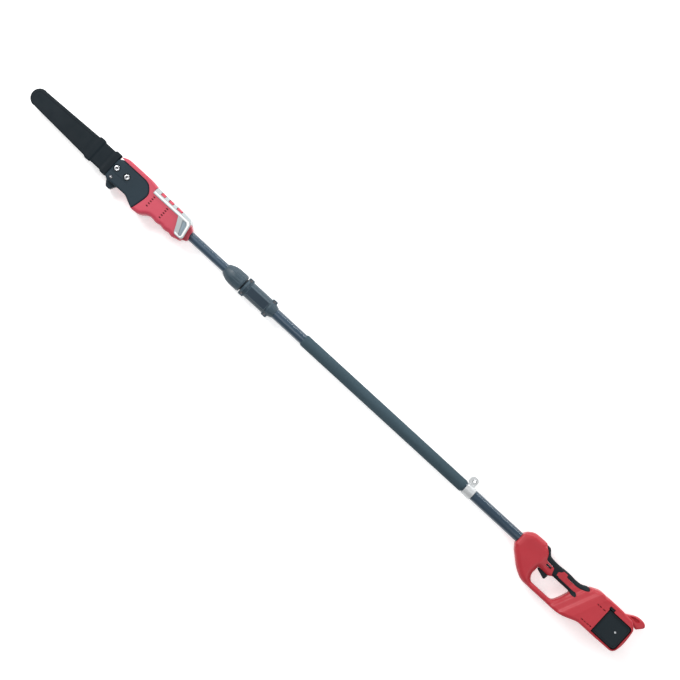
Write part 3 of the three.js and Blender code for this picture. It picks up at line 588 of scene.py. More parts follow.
def remade(node, voxel=0.6, passes=6, look=None, lower=0.0, detail=None):
    """A CAD node with its edges rounded: remeshed finely and smoothed.

    lower brings its two side faces in by that many millimetres, and detail(points) moves
    the surface."""
    made = NODES[node].copy()
    made.data = NODES[node].data.copy()
    made.name = node + "_surface"
    made.data.name = made.name
    for key in list(made.keys()):
        del made[key]
    made.parent = None
    bpy.context.scene.collection.objects.link(made)
    bm = bmesh.new()
    bm.from_mesh(made.data)
    bmesh.ops.remove_doubles(bm, verts=bm.verts, dist=2e-6)
    bm.to_mesh(made.data)
    bm.free()
    remesh = made.modifiers.new("remesh", "REMESH")
    remesh.mode = "VOXEL"
    remesh.voxel_size = voxel / 1000
    smooth = made.modifiers.new("smooth", "SMOOTH")
    smooth.factor = 0.5
    smooth.iterations = passes
    bpy.context.view_layer.objects.active = made
    for modifier in list(made.modifiers):
        bpy.ops.object.modifier_apply(modifier=modifier.name)
    if lower:
        low, high = extent(node)
        limits = (np.array([low[2] + lower, high[2] - lower]) + POLE[2]) / 1000
        for vertex in made.data.vertices:
            vertex.co.z = min(max(vertex.co.z, limits[0]), limits[1])
    if detail is not None:
        points = np.array([vertex.co for vertex in made.data.vertices]) * 1000 - POLE
        moved = (detail(points) + POLE) / 1000
        made.data.vertices.foreach_set("co", moved.astype(np.float32).ravel())
        made.data.update()
    made.data.shade_smooth()
    made.data.materials.clear()
    slot = look or SLOT_OF[node]
    made.data.materials.append(LOOKS[slot])
    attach(made, NODES[node]["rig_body"])
    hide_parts(node)
    return made


# ---------------------------------------------------------------- shared surface tools

def recessed(height, pockets):
    """A height function with pockets sunk into it, and the lines to follow at their edges."""
    def lowered(flat):
        z = height(flat)
        for loop, depth in pockets:
            z = np.where(inside(flat, grown(loop, -0.18)), z - depth, z)
        return z
    lines = [line for loop, _ in pockets for line in (loop, grown(loop, -0.36))]
    return lowered, lines


def flat_at(value):
    return lambda flat: np.full(len(flat), float(value))


def mirrored(solid):
    points, faces = solid
    points = points.copy()
    points[:, 2] *= -1
    return points, faces


def polygon(corners, step=1.2, blur=0.8):
    loop = np.array(corners, float)
    if area(loop) < 0:
        loop = loop[::-1]
    return softened(loop, step, blur)


def box_edge(low, high, step, blur):
    """The outline of a box seen from the tool's left, with rounded corners."""
    return polygon([
        [low[0], low[1]], [high[0], low[1]], [high[0], high[1]], [low[0], high[1]],
    ], step, blur)


# ---------------------------------------------------------------- rear handle

HANDLE_SECTION = section("handle_left", 16.5)
handle_edge = softened(HANDLE_SECTION[0], 1.3, 1.6)
finger_edge = softened(max(
    (loop for loop in HANDLE_SECTION if 770 < loop[:, 0].min() and loop[:, 0].max() < 915),
    key=area,
), 1.3, 1.2)
overmould_edge = softened(section("grip_overmould", 10)[0], 1.3, 0.9)
underpad_edge = softened(section("grip_underpad", 10)[0], 1.3, 0.9)
soft_edges = both(
    free_edges([handle_edge], [overmould_edge, underpad_edge], 1.6),
    free_edges([finger_edge], [underpad_edge, overmould_edge], 1.6),
    free_edges([overmould_edge], [handle_edge, finger_edge], 1.6),
    free_edges([underpad_edge], [handle_edge, finger_edge], 1.6),
)
REAR_SLANT = 0.44
REAR_TOP = 18
battery_low, battery_high = extent("battery_pack")
BAY_CLEARANCE = 1.5
BAY_FLOOR = -29.5


def handle_width(flat):
    """Half the handle's width: a domed bulb, a slim grip, then a slanting rise to the battery."""
    x, y = flat[:, 0], flat[:, 1]
    slid = x + REAR_SLANT * (REAR_TOP - y)
    bulb = 24 - 7 * smoothstep(x, 768, 794)
    rise = np.interp(
        slid,
        [878, 890, 904, 907, 911, 914, 926, 929, 934, 938, 956],
        [17, 19.0, 20.6, 22.6, 26.4, 27.2, 30.4, 32.4, 36.2, 37.2, 40.1],
    )
    return np.where(x < 850, bulb, np.maximum(17, rise))


def handle_radius(flat):
    """How round the handle's edges are, along its length."""
    return np.interp(
        flat[:, 0], [690, 700, 770, 800, 880, 915, 945, 1075], [10, 16, 16, 9, 9, 11, 8, 6],
    )


def handle_face(flat):
    swell = np.interp(flat[:, 0], [690, 730, 775, 800], [0.5, 1.5, 1.0, 0])
    dome = swell * (1 - np.clip(((flat[:, 1] + 18) / 60) ** 2, 0, 1)) - swell
    edge = rounding(distance(flat, soft_edges), handle_radius(flat))
    return handle_width(flat) + dome - edge - 0.05


def rounded_end(bottom, top, radius=11):
    """The rear corners of the battery's bay, from its bottom to its top."""
    right = battery_high[0] + BAY_CLEARANCE
    turn = np.linspace(0, math.pi / 2, 7)
    middle = right - radius
    lower = [
        [middle + radius * math.sin(a), bottom + radius - radius * math.cos(a)] for a in turn
    ]
    upper = [[middle + radius * math.cos(a), top - radius + radius * math.sin(a)] for a in turn]
    return lower + upper


bay = polygon([
    [battery_low[0] - BAY_CLEARANCE, battery_low[1] - BAY_CLEARANCE],
    *rounded_end(battery_low[1] - BAY_CLEARANCE, battery_high[1] + BAY_CLEARANCE),
    [996.8, battery_high[1] + BAY_CLEARANCE],
    [996.8, 29.6],
    [979.6, 29.6],
    [979.6, 22],
    [battery_low[0] - BAY_CLEARANCE, 20.5],
], 1.1, 0.5)
bay_right = polygon([
    [battery_low[0] - BAY_CLEARANCE, battery_low[1] - BAY_CLEARANCE],
    *rounded_end(battery_low[1] - BAY_CLEARANCE, battery_high[1] + BAY_CLEARANCE),
    [battery_low[0] - BAY_CLEARANCE, battery_high[1] + BAY_CLEARANCE],
], 1.1, 0.5)
button_slot = polygon([[786.6, -6.4], [803.4, -6.4], [803.4, -0.6], [786.6, -0.6]], 0.9, 0.6)
vents = [
    polygon([[x, y], [x + wide, y], [x + wide, y + 2.8], [x, y + 2.8]], 0.8, 0.4)
    for x, y, wide in [
        (950, 8.6, 6), (958, 8.6, 6), (969, 8.8, 8.5),
        (943, -47.4, 7), (952.5, -47.2, 7), (962, -46.8, 7), (971.5, -46.4, 6),
    ]
]
left_pockets = [(loop, 6) for loop in vents]
left_face, left_guides = recessed(handle_face, left_pockets)
left_shell = relief(
    handle_edge, left_face, flat_at(0.12),
    holes=[finger_edge, bay, button_slot], guides=left_guides,
)
notch_floor = relief(
    polygon([[979, 22.8], [997.4, 22.8], [997.4, 30.4], [979, 30.4]], 1.5, 0.3),
    flat_at(20), flat_at(8), rows=(0.8,),
)
tip = section("handle_left", 3)
horn_loop = max(
    (loop[(loop[:, 0] > 1022) & (loop[:, 1] > 24)] for loop in tip), key=len,
)
if area(horn_loop) < 0:
    horn_loop = horn_loop[::-1]
horn_edge = softened(horn_loop, 1.1, 1.0)
horn_recess = polygon([[1034, 41.5], [1064, 41.5], [1069, 47], [1064, 51], [1050, 50]], 1.1, 1.5)


def horn_face(flat):
    base = 15 - rounding(distance(flat, segments([horn_edge])), 6)
    gap = distance(flat, segments([horn_recess]))
    return np.where(inside(flat, horn_recess), base - 8 * smoothstep(gap, 0, 3.5), base)


horn = relief(horn_edge, horn_face, flat_at(0.12), guides=[horn_recess], spacing=1.4)
piece("handle_shell_left", *merged(left_shell, notch_floor, horn), "handle_left")

SCREW_WELL_RADIUS = 4.1
SCREW_HEAD_HEIGHT = 3.4


def screw_well(height, prefix, count):
    """A height function with round wells down to each screw's head."""
    wells = []
    for number in range(1, count + 1):
        low, high = extent(f"{prefix}_{number}")
        middle = (low + high) / 2
        wells.append((circle(middle[0], middle[1], SCREW_WELL_RADIUS, 24), low[2]))

    def lowered(flat):
        z = height(flat)
        for loop, depth in wells:
            floor = -depth - SCREW_HEAD_HEIGHT
            z = np.where(inside(flat, grown(loop, -0.18)), np.minimum(z, floor), z)
        return z
    lines = [line for loop, _ in wells for line in (loop, grown(loop, -0.36))]
    return lowered, lines


right_base, right_guides = recessed(handle_face, left_pockets)
right_face, well_lines = screw_well(right_base, "handle_screw", 4)


def right_inner(flat):
    return np.where(inside(flat, grown(bay_right, -0.18)), -BAY_FLOOR, 0.12)


right_shell = relief(
    handle_edge, right_face, right_inner, holes=[finger_edge, button_slot],
    guides=[*right_guides, *well_lines, bay_right, grown(bay_right, -0.36)],
)
piece("handle_shell_right", *mirrored(merged(right_shell, horn)), "handle_right")


def two_sided(edge, face, **more):
    """A solid with the same face on both sides."""
    return relief(edge, face, lambda flat: -face(flat), **more)


def raised(height, amount):
    return lambda flat: height(flat) + amount


piece("overmould", *two_sided(overmould_edge, raised(handle_face, 0.12)), "grip_overmould")
piece("underpad", *two_sided(underpad_edge, raised(handle_face, 0.12)), "grip_underpad")

link_edge = polygon([
    [806, 6], [811, -2], [813, -8], [816, -15.5], [832, -15.5], [832, -5], [826, 0],
    [832, 9], [850, 9], [850, 13], [806, 13],
], 1.0, 1.0)
link = relief(
    link_edge, raised(handle_face, 0.45), raised(handle_face, -1.4),
    spacing=1.6, rows=(0.3, 0.8, 1.5),
)
strip_edge = polygon([
    [822, -8.3], [880, -8.3], [893, -8.6], [898, -12], [897, -18], [890, -19.5],
    [884, -16.2], [822, -16],
], 1.0, 1.0)
strip = relief(
    strip_edge, raised(handle_face, 0.4), raised(handle_face, -1.4),
    spacing=1.6, rows=(0.3, 0.8, 1.5),
)
for side, place in (("left", lambda solid: solid), ("right", mirrored)):
    for name, part in (("grip_link", link), ("grip_strip", strip)):
        piece(f"{name}_{side}", *place(part), "grip_overmould", stands_for=False)

tab_edge = polygon([
    [825, -6.6], [824, 2.6], [830, 6.5], [834.5, 12.8], [847.5, 13.2], [848.5, 7.2], [856, 6.2],
    [868, 5.2], [868, -6.8],
], 0.8, 0.5)
tab = relief(
    tab_edge, raised(handle_face, 0.6), raised(handle_face, -1.2), spacing=1.6, rows=(0.3, 0.8),
)
piece("inlay_tab_left", *tab, "handle_left", stands_for=False)
piece("inlay_tab_right", *mirrored(tab), "handle_right", stands_for=False)

trigger_edge = softened(section("trigger", 2)[0], 0.8, 0.7)
trigger_high = extent("trigger")[1][2]
trigger_lines = segments([trigger_edge])
piece("trigger_lever", *two_sided(
    trigger_edge, lambda flat: trigger_high - rounding(distance(flat, trigger_lines), 2.4),
    spacing=1.2, rows=(0.2, 0.6, 1.2, 2.0),
), "trigger")

button_low, button_high = extent("lock_off_button")
button_edge = box_edge(button_low, button_high, 0.6, 0.6)
button_lines = segments([button_edge])
piece("lock_off_surface", *two_sided(
    button_edge, lambda flat: button_high[2] - rounding(distance(flat, button_lines), 1.2),
    spacing=1.0, rows=(0.15, 0.4, 0.8, 1.2),
), "lock_off_button")

battery_edge = softened(section("battery_pack", 20)[0], 1.2, 1.2)
battery_lines = segments([battery_edge])
panel_edge = grown(battery_edge, -5.5)
lamp = circle(1034, -14, 3.4, 26)
battery_top, battery_guides = recessed(
    lambda flat: battery_high[2] - rounding(distance(flat, battery_lines), 2.2),
    [(lamp, 1.0)],
)


def battery_face(flat):
    groove = np.abs(distance(flat, segments([panel_edge])))
    return battery_top(flat) - 0.7 * np.clip(1 - groove / 0.8, 0, 1)


piece("battery_case", *relief(
    battery_edge, battery_face,
    lambda flat: battery_low[2] + rounding(distance(flat, battery_lines), 2.2),
    guides=[*battery_guides, panel_edge, grown(panel_edge, -0.8), grown(panel_edge, 0.8)],
    rows=(0.25, 0.7, 1.4, 2.2, 3.4),
), "battery_pack")
piece("battery_dot", *turned([
    (battery_high[2] - 2.5, 2.9), (battery_high[2] - 0.5, 2.9), (battery_high[2] - 0.2, 2.6),
    (battery_high[2] - 0.1, 1.8), (battery_high[2] - 0.35, 1.2), (battery_high[2] - 0.35, 0.4),
], 40, None, (1034, -14), "z"), "battery_pack", "bright_steel", stands_for=False)

latch_low, latch_high = extent("battery_latch")
latch_edge = box_edge(latch_low, latch_high, 0.5, 0.4)
latch_lines = segments([latch_edge])


def latch_face(flat):
    ribs = 0.45 * (1 + np.cos((flat[:, 0] - latch_low[0]) * 2 * math.pi / 2.6))
    return latch_high[2] - 0.1 - ribs - rounding(distance(flat, latch_lines), 0.9)


piece("latch_surface", *relief(
    latch_edge, latch_face, flat_at(latch_low[2]), spacing=0.45, rows=(0.2, 0.5),
), "battery_latch")


# ---------------------------------------------------------------- pole

def radii(node):
    """The smallest and largest distance of a CAD node's points from the pole's axis."""
    mesh = NODES[node].data
    points = np.array([vertex.co for vertex in mesh.vertices]) * 1000 - POLE
    reach = np.hypot(points[:, 1], points[:, 2])
    return reach.min(), reach.max()


def tube_piece(name, node, edge):
    low, high = extent(node)
    inner, outer = radii(node)
    piece(name, *turned(ring_profile(low[0], high[0], inner, outer, edge), 96), node)


tube_piece("outer_tube_surface", "outer_tube", 0.4)
tube_piece("inner_tube_surface", "inner_tube", 0.4)

sleeve_low, sleeve_high = extent("grip_sleeve")
sleeve_inner, sleeve_outer = radii("grip_sleeve")
profile = [(sleeve_high[0], sleeve_inner), (sleeve_low[0], sleeve_inner)]
for along in np.linspace(0, 1, 160):
    x = sleeve_low[0] + along * (sleeve_high[0] - sleeve_low[0])
    near = min(x - sleeve_low[0], sleeve_high[0] - x)
    drop = rounding(np.array([near]), 2.2)[0] * 0.6
    profile.append((x, sleeve_outer - 0.05 - drop))
piece("sleeve_surface", *turned(profile, 96), "grip_sleeve")


# ---------------------------------------------------------------- lock nut, coupling and hanger

nut_low, nut_high = extent("lock_nut")
nut_inner = radii("lock_nut")[0]
GRIP_FROM, GRIP_TO = nut_low[0] + 26, nut_high[0] - 7
FLUTES = 18


def fluted(x, radius, turn):
    """Eight broad facets down the nut's cone, and finger grooves round its widest part."""
    share = smoothstep(np.array([x]), GRIP_FROM + 3, GRIP_FROM + 7)[0]
    share *= 1 - smoothstep(np.array([x]), GRIP_TO - 3, GRIP_TO)[0]
    grooves = share * 0.9 * np.clip(np.cos(turn * FLUTES), 0, 1) ** 2
    cone = 1 - smoothstep(np.array([x]), GRIP_FROM - 2, GRIP_FROM + 4)[0]
    cone *= smoothstep(np.array([x]), nut_low[0] + 3, nut_low[0] + 12)[0]
    facet = np.mod(turn + math.pi / 8, math.pi / 4) - math.pi / 8
    flat_side = radius * (1 - math.cos(math.pi / 8) / np.cos(facet))
    return grooves + 0.5 * cone * np.maximum(0, flat_side)


nut_points = [(nut_high[0], nut_inner), (nut_low[0], nut_inner)]
nut_shape = [
    (0, 13.9), (0.4, 14.6), (1.5, 15.4), (3, 16.4), (8, 19), (14, 22), (19, 23.8), (23, 24.4),
    (26, 24.6), (29, 24.6), (34, 24.7), (40, 24.7), (46, 24.8), (51, 24.8), (54, 24.8), (56, 24.9),
    (57, 24.9), (57.6, 24.4), (58.2, 23.6), (60, 23.4), (60.6, 22.9), (61, 22.2),
]
scale = (nut_high[0] - nut_low[0]) / nut_shape[-1][0]
nut_points += [(nut_low[0] + x * scale, r) for x, r in nut_shape]
piece("lock_nut_surface", *turned(nut_points, 144, fluted), "lock_nut")

coupling_low, coupling_high = extent("coupling_left")
PANEL_FROM, PANEL_TO = coupling_low[0] + 17, coupling_high[0] - 26
RIB_FROM = coupling_low[0] + 9.5


def coupling_detail(points):
    """A raised panel on each side, grip ribs behind the front rim and a knurled strip on top."""
    x, y, z = points.T
    reach = np.hypot(y, z)
    outer = smoothstep(reach, 18.5, 19.5) * smoothstep(np.abs(z), 4, 8)
    along = smoothstep(x, PANEL_FROM, PANEL_FROM + 1.2)
    along = along * (1 - smoothstep(x, PANEL_TO - 1.2, PANEL_TO))
    across = smoothstep(y, -14.5, -13) * (1 - smoothstep(y, 9.5, 11))
    amount = 0.9 * along * across
    for step in range(4):
        amount -= 0.9 * np.exp(-((x - RIB_FROM - 2.2 * step) / 0.6) ** 2)
    strip = along * smoothstep(y, 12.5, 13.5) * (1 - smoothstep(y, 17.5, 18.5))
    amount += 0.45 * strip * np.cos(x * 2 * math.pi / 3.2)
    amount -= 0.5 * np.exp(-((x - PANEL_TO - 3) / 0.7) ** 2)
    away = np.column_stack([np.zeros(len(x)), y, z]) / np.maximum(reach, 1e-6)[:, None]
    return points + away * (amount * outer)[:, None]


# The faces that take the darker finish: the side panel, and the bottoms of the grip ribs' grooves,
# darkened as painted shade.
def coupling_panel_and_groove_shade(points):
    x, y, z = points.T
    inner = (x > PANEL_FROM + 1.5) & (x < PANEL_TO - 1.5) & (y > -12.5) & (y < 9)
    ribs = np.abs(np.mod(x - RIB_FROM, 2.2) - 1.1) > 0.5
    ribs &= (x > RIB_FROM - 0.6) & (x < RIB_FROM + 7.2)
    return (np.abs(z) > 12) & (inner | (ribs & (np.abs(y) < 18)))


for half_name in ("coupling_left", "coupling_right"):
    patched(remade(half_name, 0.62, 3, detail=coupling_detail).data, PANEL_DARK_AND_GROOVE_SHADE, coupling_panel_and_groove_shade)
remade("strap_hanger", 0.4, 5)
eye_low, eye_high = extent("hanger_eyelet")
eye_middle = (eye_low + eye_high) / 2
eye_reach = (eye_high[0] - eye_low[0]) / 2
eye_mesh = NODES["hanger_eyelet"].data
eye_points = np.array([vertex.co for vertex in eye_mesh.vertices]) * 1000 - POLE
eye_bore = np.hypot(eye_points[:, 0] - eye_middle[0], eye_points[:, 1] - eye_middle[1]).min()
eye_half = (eye_high[2] - eye_low[2]) / 2
lip = [
    (-eye_half, eye_bore + 0.5), (-eye_half, eye_reach - 0.5), (-eye_half + 0.4, eye_reach),
    (-eye_half + 0.8, eye_bore + 1), (eye_half - 0.8, eye_bore + 1), (eye_half - 0.4, eye_reach),
    (eye_half, eye_reach - 0.5), (eye_half, eye_bore + 0.5), (eye_half - 0.5, eye_bore),
    (-eye_half + 0.5, eye_bore),
]
piece("eyelet_surface", *turned(
    [(eye_middle[2] + z, r) for z, r in lip], 48, None, (eye_middle[0], eye_middle[1]), "z",
), "hanger_eyelet")


# ---------------------------------------------------------------- saw head

HOUSE_HALF = extent("housing_left")[1][2]
house_edge = softened(section("housing_right", -20.7)[0], 1.2, 1.0)
cover_edge = softened(section("sprocket_cover", 25)[0], 1.0, 0.7)
bumper_high = extent("bumper")[1]
house_soft = free_edges([house_edge], [cover_edge], 2.2)
NECK_HALF = 21
CHEST = 24
WINDOWS = [(-595, -580), (-568, -552), (-540, -521)]


boss_edges = [box_loop(x0 + 0.6, 27.6, x1 - 0.6, 37.5, 1.2) for x0, x1 in WINDOWS]


def shoulder(flat):
    """The slope under the bumper, and the higher one of the bosses in its windows."""
    slope = HOUSE_HALF - 1.2 * np.maximum(0, flat[:, 1] - CHEST)
    for loop in boss_edges:
        slope = np.where(inside(flat, grown(loop, -0.18)), slope + 3.6, slope)
    return slope


def house_side(soft, front_radius):
    """The housing's side: rounded edges, sloping shoulders under the bumper and a slim neck."""
    def height(flat):
        x = flat[:, 0]
        gap = distance(flat, soft)
        radius = np.interp(
            x, [-740, -640, -600, -500, -480], [front_radius, front_radius + 1, 12, 12, 8],
        )
        z = HOUSE_HALF - rounding(gap, radius)
        z = np.where(x > -612.6, np.minimum(z, shoulder(flat)), z)
        neck = NECK_HALF - rounding(gap, 6)
        return np.where(x > -481.6, np.minimum(z, neck), z) - 0.05
    return height


house_vents = [
    polygon([[x - 3, y - 1.6], [x + 3, y - 1.6], [x + 3, y + 1.6], [x - 3, y + 1.6]], 0.7, 0.4)
    for x in (-602, -557) for y in (11, 4, -3, -10, -18)
]
house_top, house_lines = recessed(house_side(house_soft, 7), [(loop, 8) for loop in house_vents])
house_lines += [line for loop in boss_edges for line in (loop, grown(loop, -0.36))]
COVER_GAP = 0.35
shell_left = relief(
    house_edge, house_top, flat_at(0.12), holes=[grown(cover_edge, COVER_GAP)], guides=house_lines,
    keep=lambda middle: (middle[:, 0] > -640) | (middle[:, 1] > 26),
)
piece("housing_shell_left", *shell_left, "housing_left")

cap_low, cap_high = extent("oil_cap")
cap_middle = (cap_low + cap_high) / 2
cap_reach = (cap_high[0] - cap_low[0]) / 2
cap_well = circle(cap_middle[0], cap_middle[1], cap_reach + 0.8, 48)
right_side = house_side(segments([house_edge]), 8)


def house_right_face(flat):
    """The right side, sunk round the oil cap."""
    z = right_side(flat)
    return np.where(inside(flat, grown(cap_well, -0.18)), np.minimum(z, HOUSE_HALF - 7), z)


right_top, right_lines = recessed(house_right_face, [(loop, 8) for loop in house_vents])
right_top, right_wells = screw_well(right_top, "head_screw", 3)
case_low = extent("gearcase")[0]
case_edge = softened(section("gearcase", -10)[0], 1.2, 1.0)


def right_floor(flat):
    """The right shell backs the gearcase, and elsewhere meets the left shell."""
    under = inside(flat, grown(case_edge, 0.2))
    return np.where(under, -case_low[2] + 0.3, 0.12)


shell_right = relief(
    house_edge, right_top, right_floor,
    guides=[
        *right_lines, *right_wells, cap_well, grown(cap_well, -0.36),
        case_edge, grown(case_edge, 0.36),
    ],
)
piece("housing_shell_right", *mirrored(shell_right), "housing_right")

cover_low, cover_high = extent("sprocket_cover")
cover_lines = segments([cover_edge])
cover_holes = []
nut_middles = []
for number in (1, 2):
    low, high = extent(f"bar_nut_{number}")
    middle = (low + high) / 2
    nut_middles.append(middle)
    cover_holes.append((circle(middle[0], middle[1], 9.9, 44), 5.4))
adjust_low, adjust_high = extent("tension_screw")
adjust_middle = (adjust_low + adjust_high) / 2
adjust_reach = (adjust_high[0] - adjust_low[0]) / 2
crease = spaced(np.array([[-739, -11.9], [-676, -10.9], [-676, -10.1], [-739, -11.1]]), 1.2)


def cover_plain(flat):
    gap = distance(flat, cover_lines)
    bevel = 2.6 * np.clip(1 - gap / 3.6, 0, 1)
    hook = 3 * smoothstep(-flat[:, 1], 36, 42) * (flat[:, 0] < -690)
    return cover_high[2] - bevel - rounding(gap, 1.2) * 0.6 - hook


cover_face, cover_guides = recessed(cover_plain, [*cover_holes, (crease, 0.9)])
cover_bore = circle(adjust_middle[0], adjust_middle[1], adjust_reach + 0.7, 28)
piece("cover_surface", *relief(
    cover_edge, cover_face, flat_at(cover_low[2] + 0.1), holes=[cover_bore],
    guides=cover_guides, rows=(0.3, 0.9, 1.7, 2.6, 3.5, 3.8),
), "sprocket_cover")
remade("gearcase", 0.7, 4)
remade("bumper", 0.5, 5, lower=0.35)


def strip_face(flat):
    """A raised edge along the bumper's middle and round its rear window, whose near-white finish is
    a painted highlight.
    """
    return bumper_high[2] - 0.02 - rounding(distance(flat, strip_lines), 0.8)


strip_loop = polygon([
    [-611, 19.8], [-611, 24.6], [-492, 24.6], [-486.5, 19], [-479.6, -14], [-483, -22],
    [-501, -22.4],
    [-503.5, -19.5], [-502.5, -17.2], [-488, -19.8], [-484.2, -16.5], [-490.6, 13], [-496, 19.4],
], 1.0, 0.9)
strip_lines = segments([strip_loop])
trim_strip = relief(
    strip_loop, strip_face, flat_at(bumper_high[2] - 1.6), spacing=1.4, rows=(0.25, 0.55, 0.9),
)
# The strip's near-white finish is a painted highlight on its ridge.
piece("trim_strip_left", *trim_strip, "bumper", stands_for=False, finish=TRIM_PAINTED_HIGHLIGHT)
piece("trim_strip_right", *mirrored(trim_strip), "bumper", stands_for=False, finish=TRIM_PAINTED_HIGHLIGHT)

pad_edge = softened(section("bumper_pad_left", 38.5)[0], 0.9, 0.7)
pad_low, pad_high = extent("bumper_pad_left")
pad_lines = segments([pad_edge])


def pad_face(flat):
    ribs = 0.35 * np.cos((flat[:, 0] + 0.28 * flat[:, 1]) * 2 * math.pi / 6.5)
    return pad_high[2] - 0.5 + ribs - rounding(distance(flat, pad_lines), 1.0)


pad = relief(pad_edge, pad_face, flat_at(pad_low[2]), spacing=1.0, rows=(0.25, 0.6, 1.0))
piece("pad_surface_left", *pad, "bumper_pad_left")
piece("pad_surface_right", *mirrored(pad), "bumper_pad_right")


def hexagon(x, y, across, sides=6, step=0.7):
    turn = np.arange(sides) * 2 * math.pi / sides + 0.3
    reach = across / 2 / math.cos(math.pi / sides)
    return spaced(np.stack([x + reach * np.cos(turn), y + reach * np.sin(turn)], axis=1), step)


for number, middle in enumerate(nut_middles, 1):
    low, high = extent(f"bar_nut_{number}")
    flange = (high[0] - low[0]) / 2
    thick = high[2] - low[2]
    stud_radius = extent(f"bar_stud_{number}")[1][0] - middle[0]
    collar_shape = [
        (low[2], stud_radius + 0.2), (low[2], flange - 0.4), (low[2] + 0.4, flange),
        (low[2] + thick * 0.3, flange), (low[2] + thick * 0.42, flange - 0.7),
        (low[2] + thick * 0.5, flange - 1.8), (low[2] + thick * 0.5, stud_radius + 0.2),
    ]
    collar = turned(collar_shape, 64, None, (middle[0], middle[1]), "z")
    hexed = hexagon(middle[0], middle[1], 2 * flange - 3.0)
    hole = circle(middle[0], middle[1], stud_radius + 0.35, 32)

    def nut_face(flat, middle=middle, high=high, flange=flange):
        reach = np.hypot(flat[:, 0] - middle[0], flat[:, 1] - middle[1])
        inner = np.clip(stud_radius + 1.0 - reach, 0, 1)
        return high[2] - 0.7 * np.clip(reach - (flange - 2.3), 0, 3) - 0.6 * inner

    crown = relief(
        hexed, nut_face, flat_at(low[2] + thick * 0.5), holes=[hole], spacing=0.9, rows=(0.3, 0.9),
    )
    piece(f"nut_{number}", *merged(collar, crown), f"bar_nut_{number}")


screw_shape = [
    (adjust_low[2], 0.9), (adjust_low[2], adjust_reach - 0.3), (adjust_high[2] - 1.0, adjust_reach),
    (adjust_high[2] - 0.4, adjust_reach - 0.25), (adjust_high[2] - 0.15, adjust_reach - 0.9),
    (adjust_high[2] - 0.15, 0.5),
]
piece("adjuster_head", *turned(
    screw_shape, 48, None, (adjust_middle[0], adjust_middle[1]), "z",
), "tension_screw", "screw_steel")
# A thin bright blade across the screw's dark head: a painted highlight on the slot's edges.
slot_glint_loop = polygon([
    [adjust_middle[0] + x, adjust_middle[1] + y]
    for x, y in [(-3.8, -0.8), (3.8, -0.8), (3.8, 0.8), (-3.8, 0.8)]
], 0.4, 0.25)
slot_glint_lines = segments([slot_glint_loop])
piece("adjuster_slot_glint", *relief(
    slot_glint_loop, lambda flat: adjust_high[2] - 0.02 - rounding(distance(flat, slot_glint_lines), 0.3),
    flat_at(adjust_high[2] - 0.6), spacing=0.5, rows=(0.12, 0.3),
), "tension_screw", stands_for=False, finish=SCREW_SLOT_GLINT)


# ---------------------------------------------------------------- scabbard

sheath_low, sheath_high = extent("scabbard")
BAR_MID = (sheath_low[2] + sheath_high[2]) / 2
sheath_edge = softened(section("scabbard", BAR_MID + 7)[0], 1.4, 1.6)
NOSE_RADIUS = 24.9
nose_middle = np.array([sheath_low[0] + NOSE_RADIUS + 0.05, 0])
nose_arms = sheath_edge - nose_middle
nose_arc = nose_middle + nose_arms * NOSE_RADIUS / np.linalg.norm(nose_arms, axis=1)[:, None]
sheath_edge = np.where(sheath_edge[:, :1] < nose_middle[0], nose_arc, sheath_edge)
sheath_edge = softened(sheath_edge, 1.4, 1.0)
sheath_lines = segments([sheath_edge])
WALL = 2.4
HOLLOW = 6.0
bands = [(-812, -793), (-757, -737)]
mouth = sheath_edge[:, 0].max()
cavity = grown(sheath_edge, -WALL)
cavity[:, 0] = np.where(cavity[:, 0] > mouth - WALL - 1.2, mouth + 3, cavity[:, 0])
panel = grown(sheath_edge, -8)
panel = spaced(panel[panel[:, 0] < -822], 1.4)
ribs_x = [-786, -781, -776, -771, -766]


def sheath_face(flat):
    gap = distance(flat, sheath_lines)
    z = HOLLOW + 2.5 - rounding(gap, 3.2)
    for start, end in bands:
        rise = smoothstep(flat[:, 0], start, start + 1.6)
        rise = rise * (1 - smoothstep(flat[:, 0], end - 1.6, end))
        z = z + 1.4 * rise
    for x in ribs_x:
        z = z + 0.5 * np.clip(1 - np.abs(flat[:, 0] - x) / 1.3, 0, 1) * (gap > 4)
    sunk = inside(flat, grown(panel, -0.3))
    return z - 0.7 * sunk


def sheath_inner(flat):
    return np.where(inside(flat, grown(cavity, -0.1)), HOLLOW, 0.0)


half = relief(sheath_edge, sheath_face, sheath_inner, guides=[
    panel, grown(panel, -0.6), cavity, grown(cavity, -0.3),
], spacing=2.4)
upper_half = (half[0] + np.array([0, 0, BAR_MID]), half[1])
lower_half = (half[0] * np.array([1, 1, -1]) + np.array([0, 0, BAR_MID]), half[1])
piece("scabbard_upper", *upper_half, "scabbard")
piece("scabbard_lower", *lower_half, "scabbard")

# ---------------------------------------------------------------- guide bar and chain

bar_low, bar_high = extent("guide_bar")
bar_loops = section("guide_bar", (bar_low[2] + bar_high[2]) / 2 + 1.5)
bar_edge = softened(bar_loops[0], 1.6, 0.8)
bar_holes = [softened(loop, 0.9, 0.3) for loop in bar_loops[1:] if abs(area(loop)) > 8]
bar_lines = segments([bar_edge])
nose_x, nose_y = bar_low[0] + 15, (bar_low[1] + bar_high[1]) / 2
nose_rivets = [
    circle(nose_x + 9 * math.cos(a), nose_y + 9 * math.sin(a), 1.5, 18)
    for a in (0.0, 0.9, -0.9, 2.2, -2.2)
]


def bar_plain(flat):
    return bar_high[2] - BAR_MID - rounding(distance(flat, bar_lines), 0.5)


bar_face, bar_guides = recessed(bar_plain, [(loop, 0.25) for loop in nose_rivets])
bar_blank = relief(
    bar_edge, bar_face, lambda flat: -bar_face(flat), holes=bar_holes, guides=bar_guides,
    spacing=3.2, rows=(0.25, 0.6, 1.6),
)
piece("bar_blade", bar_blank[0] + np.array([0, 0, BAR_MID]), bar_blank[1], "guide_bar")

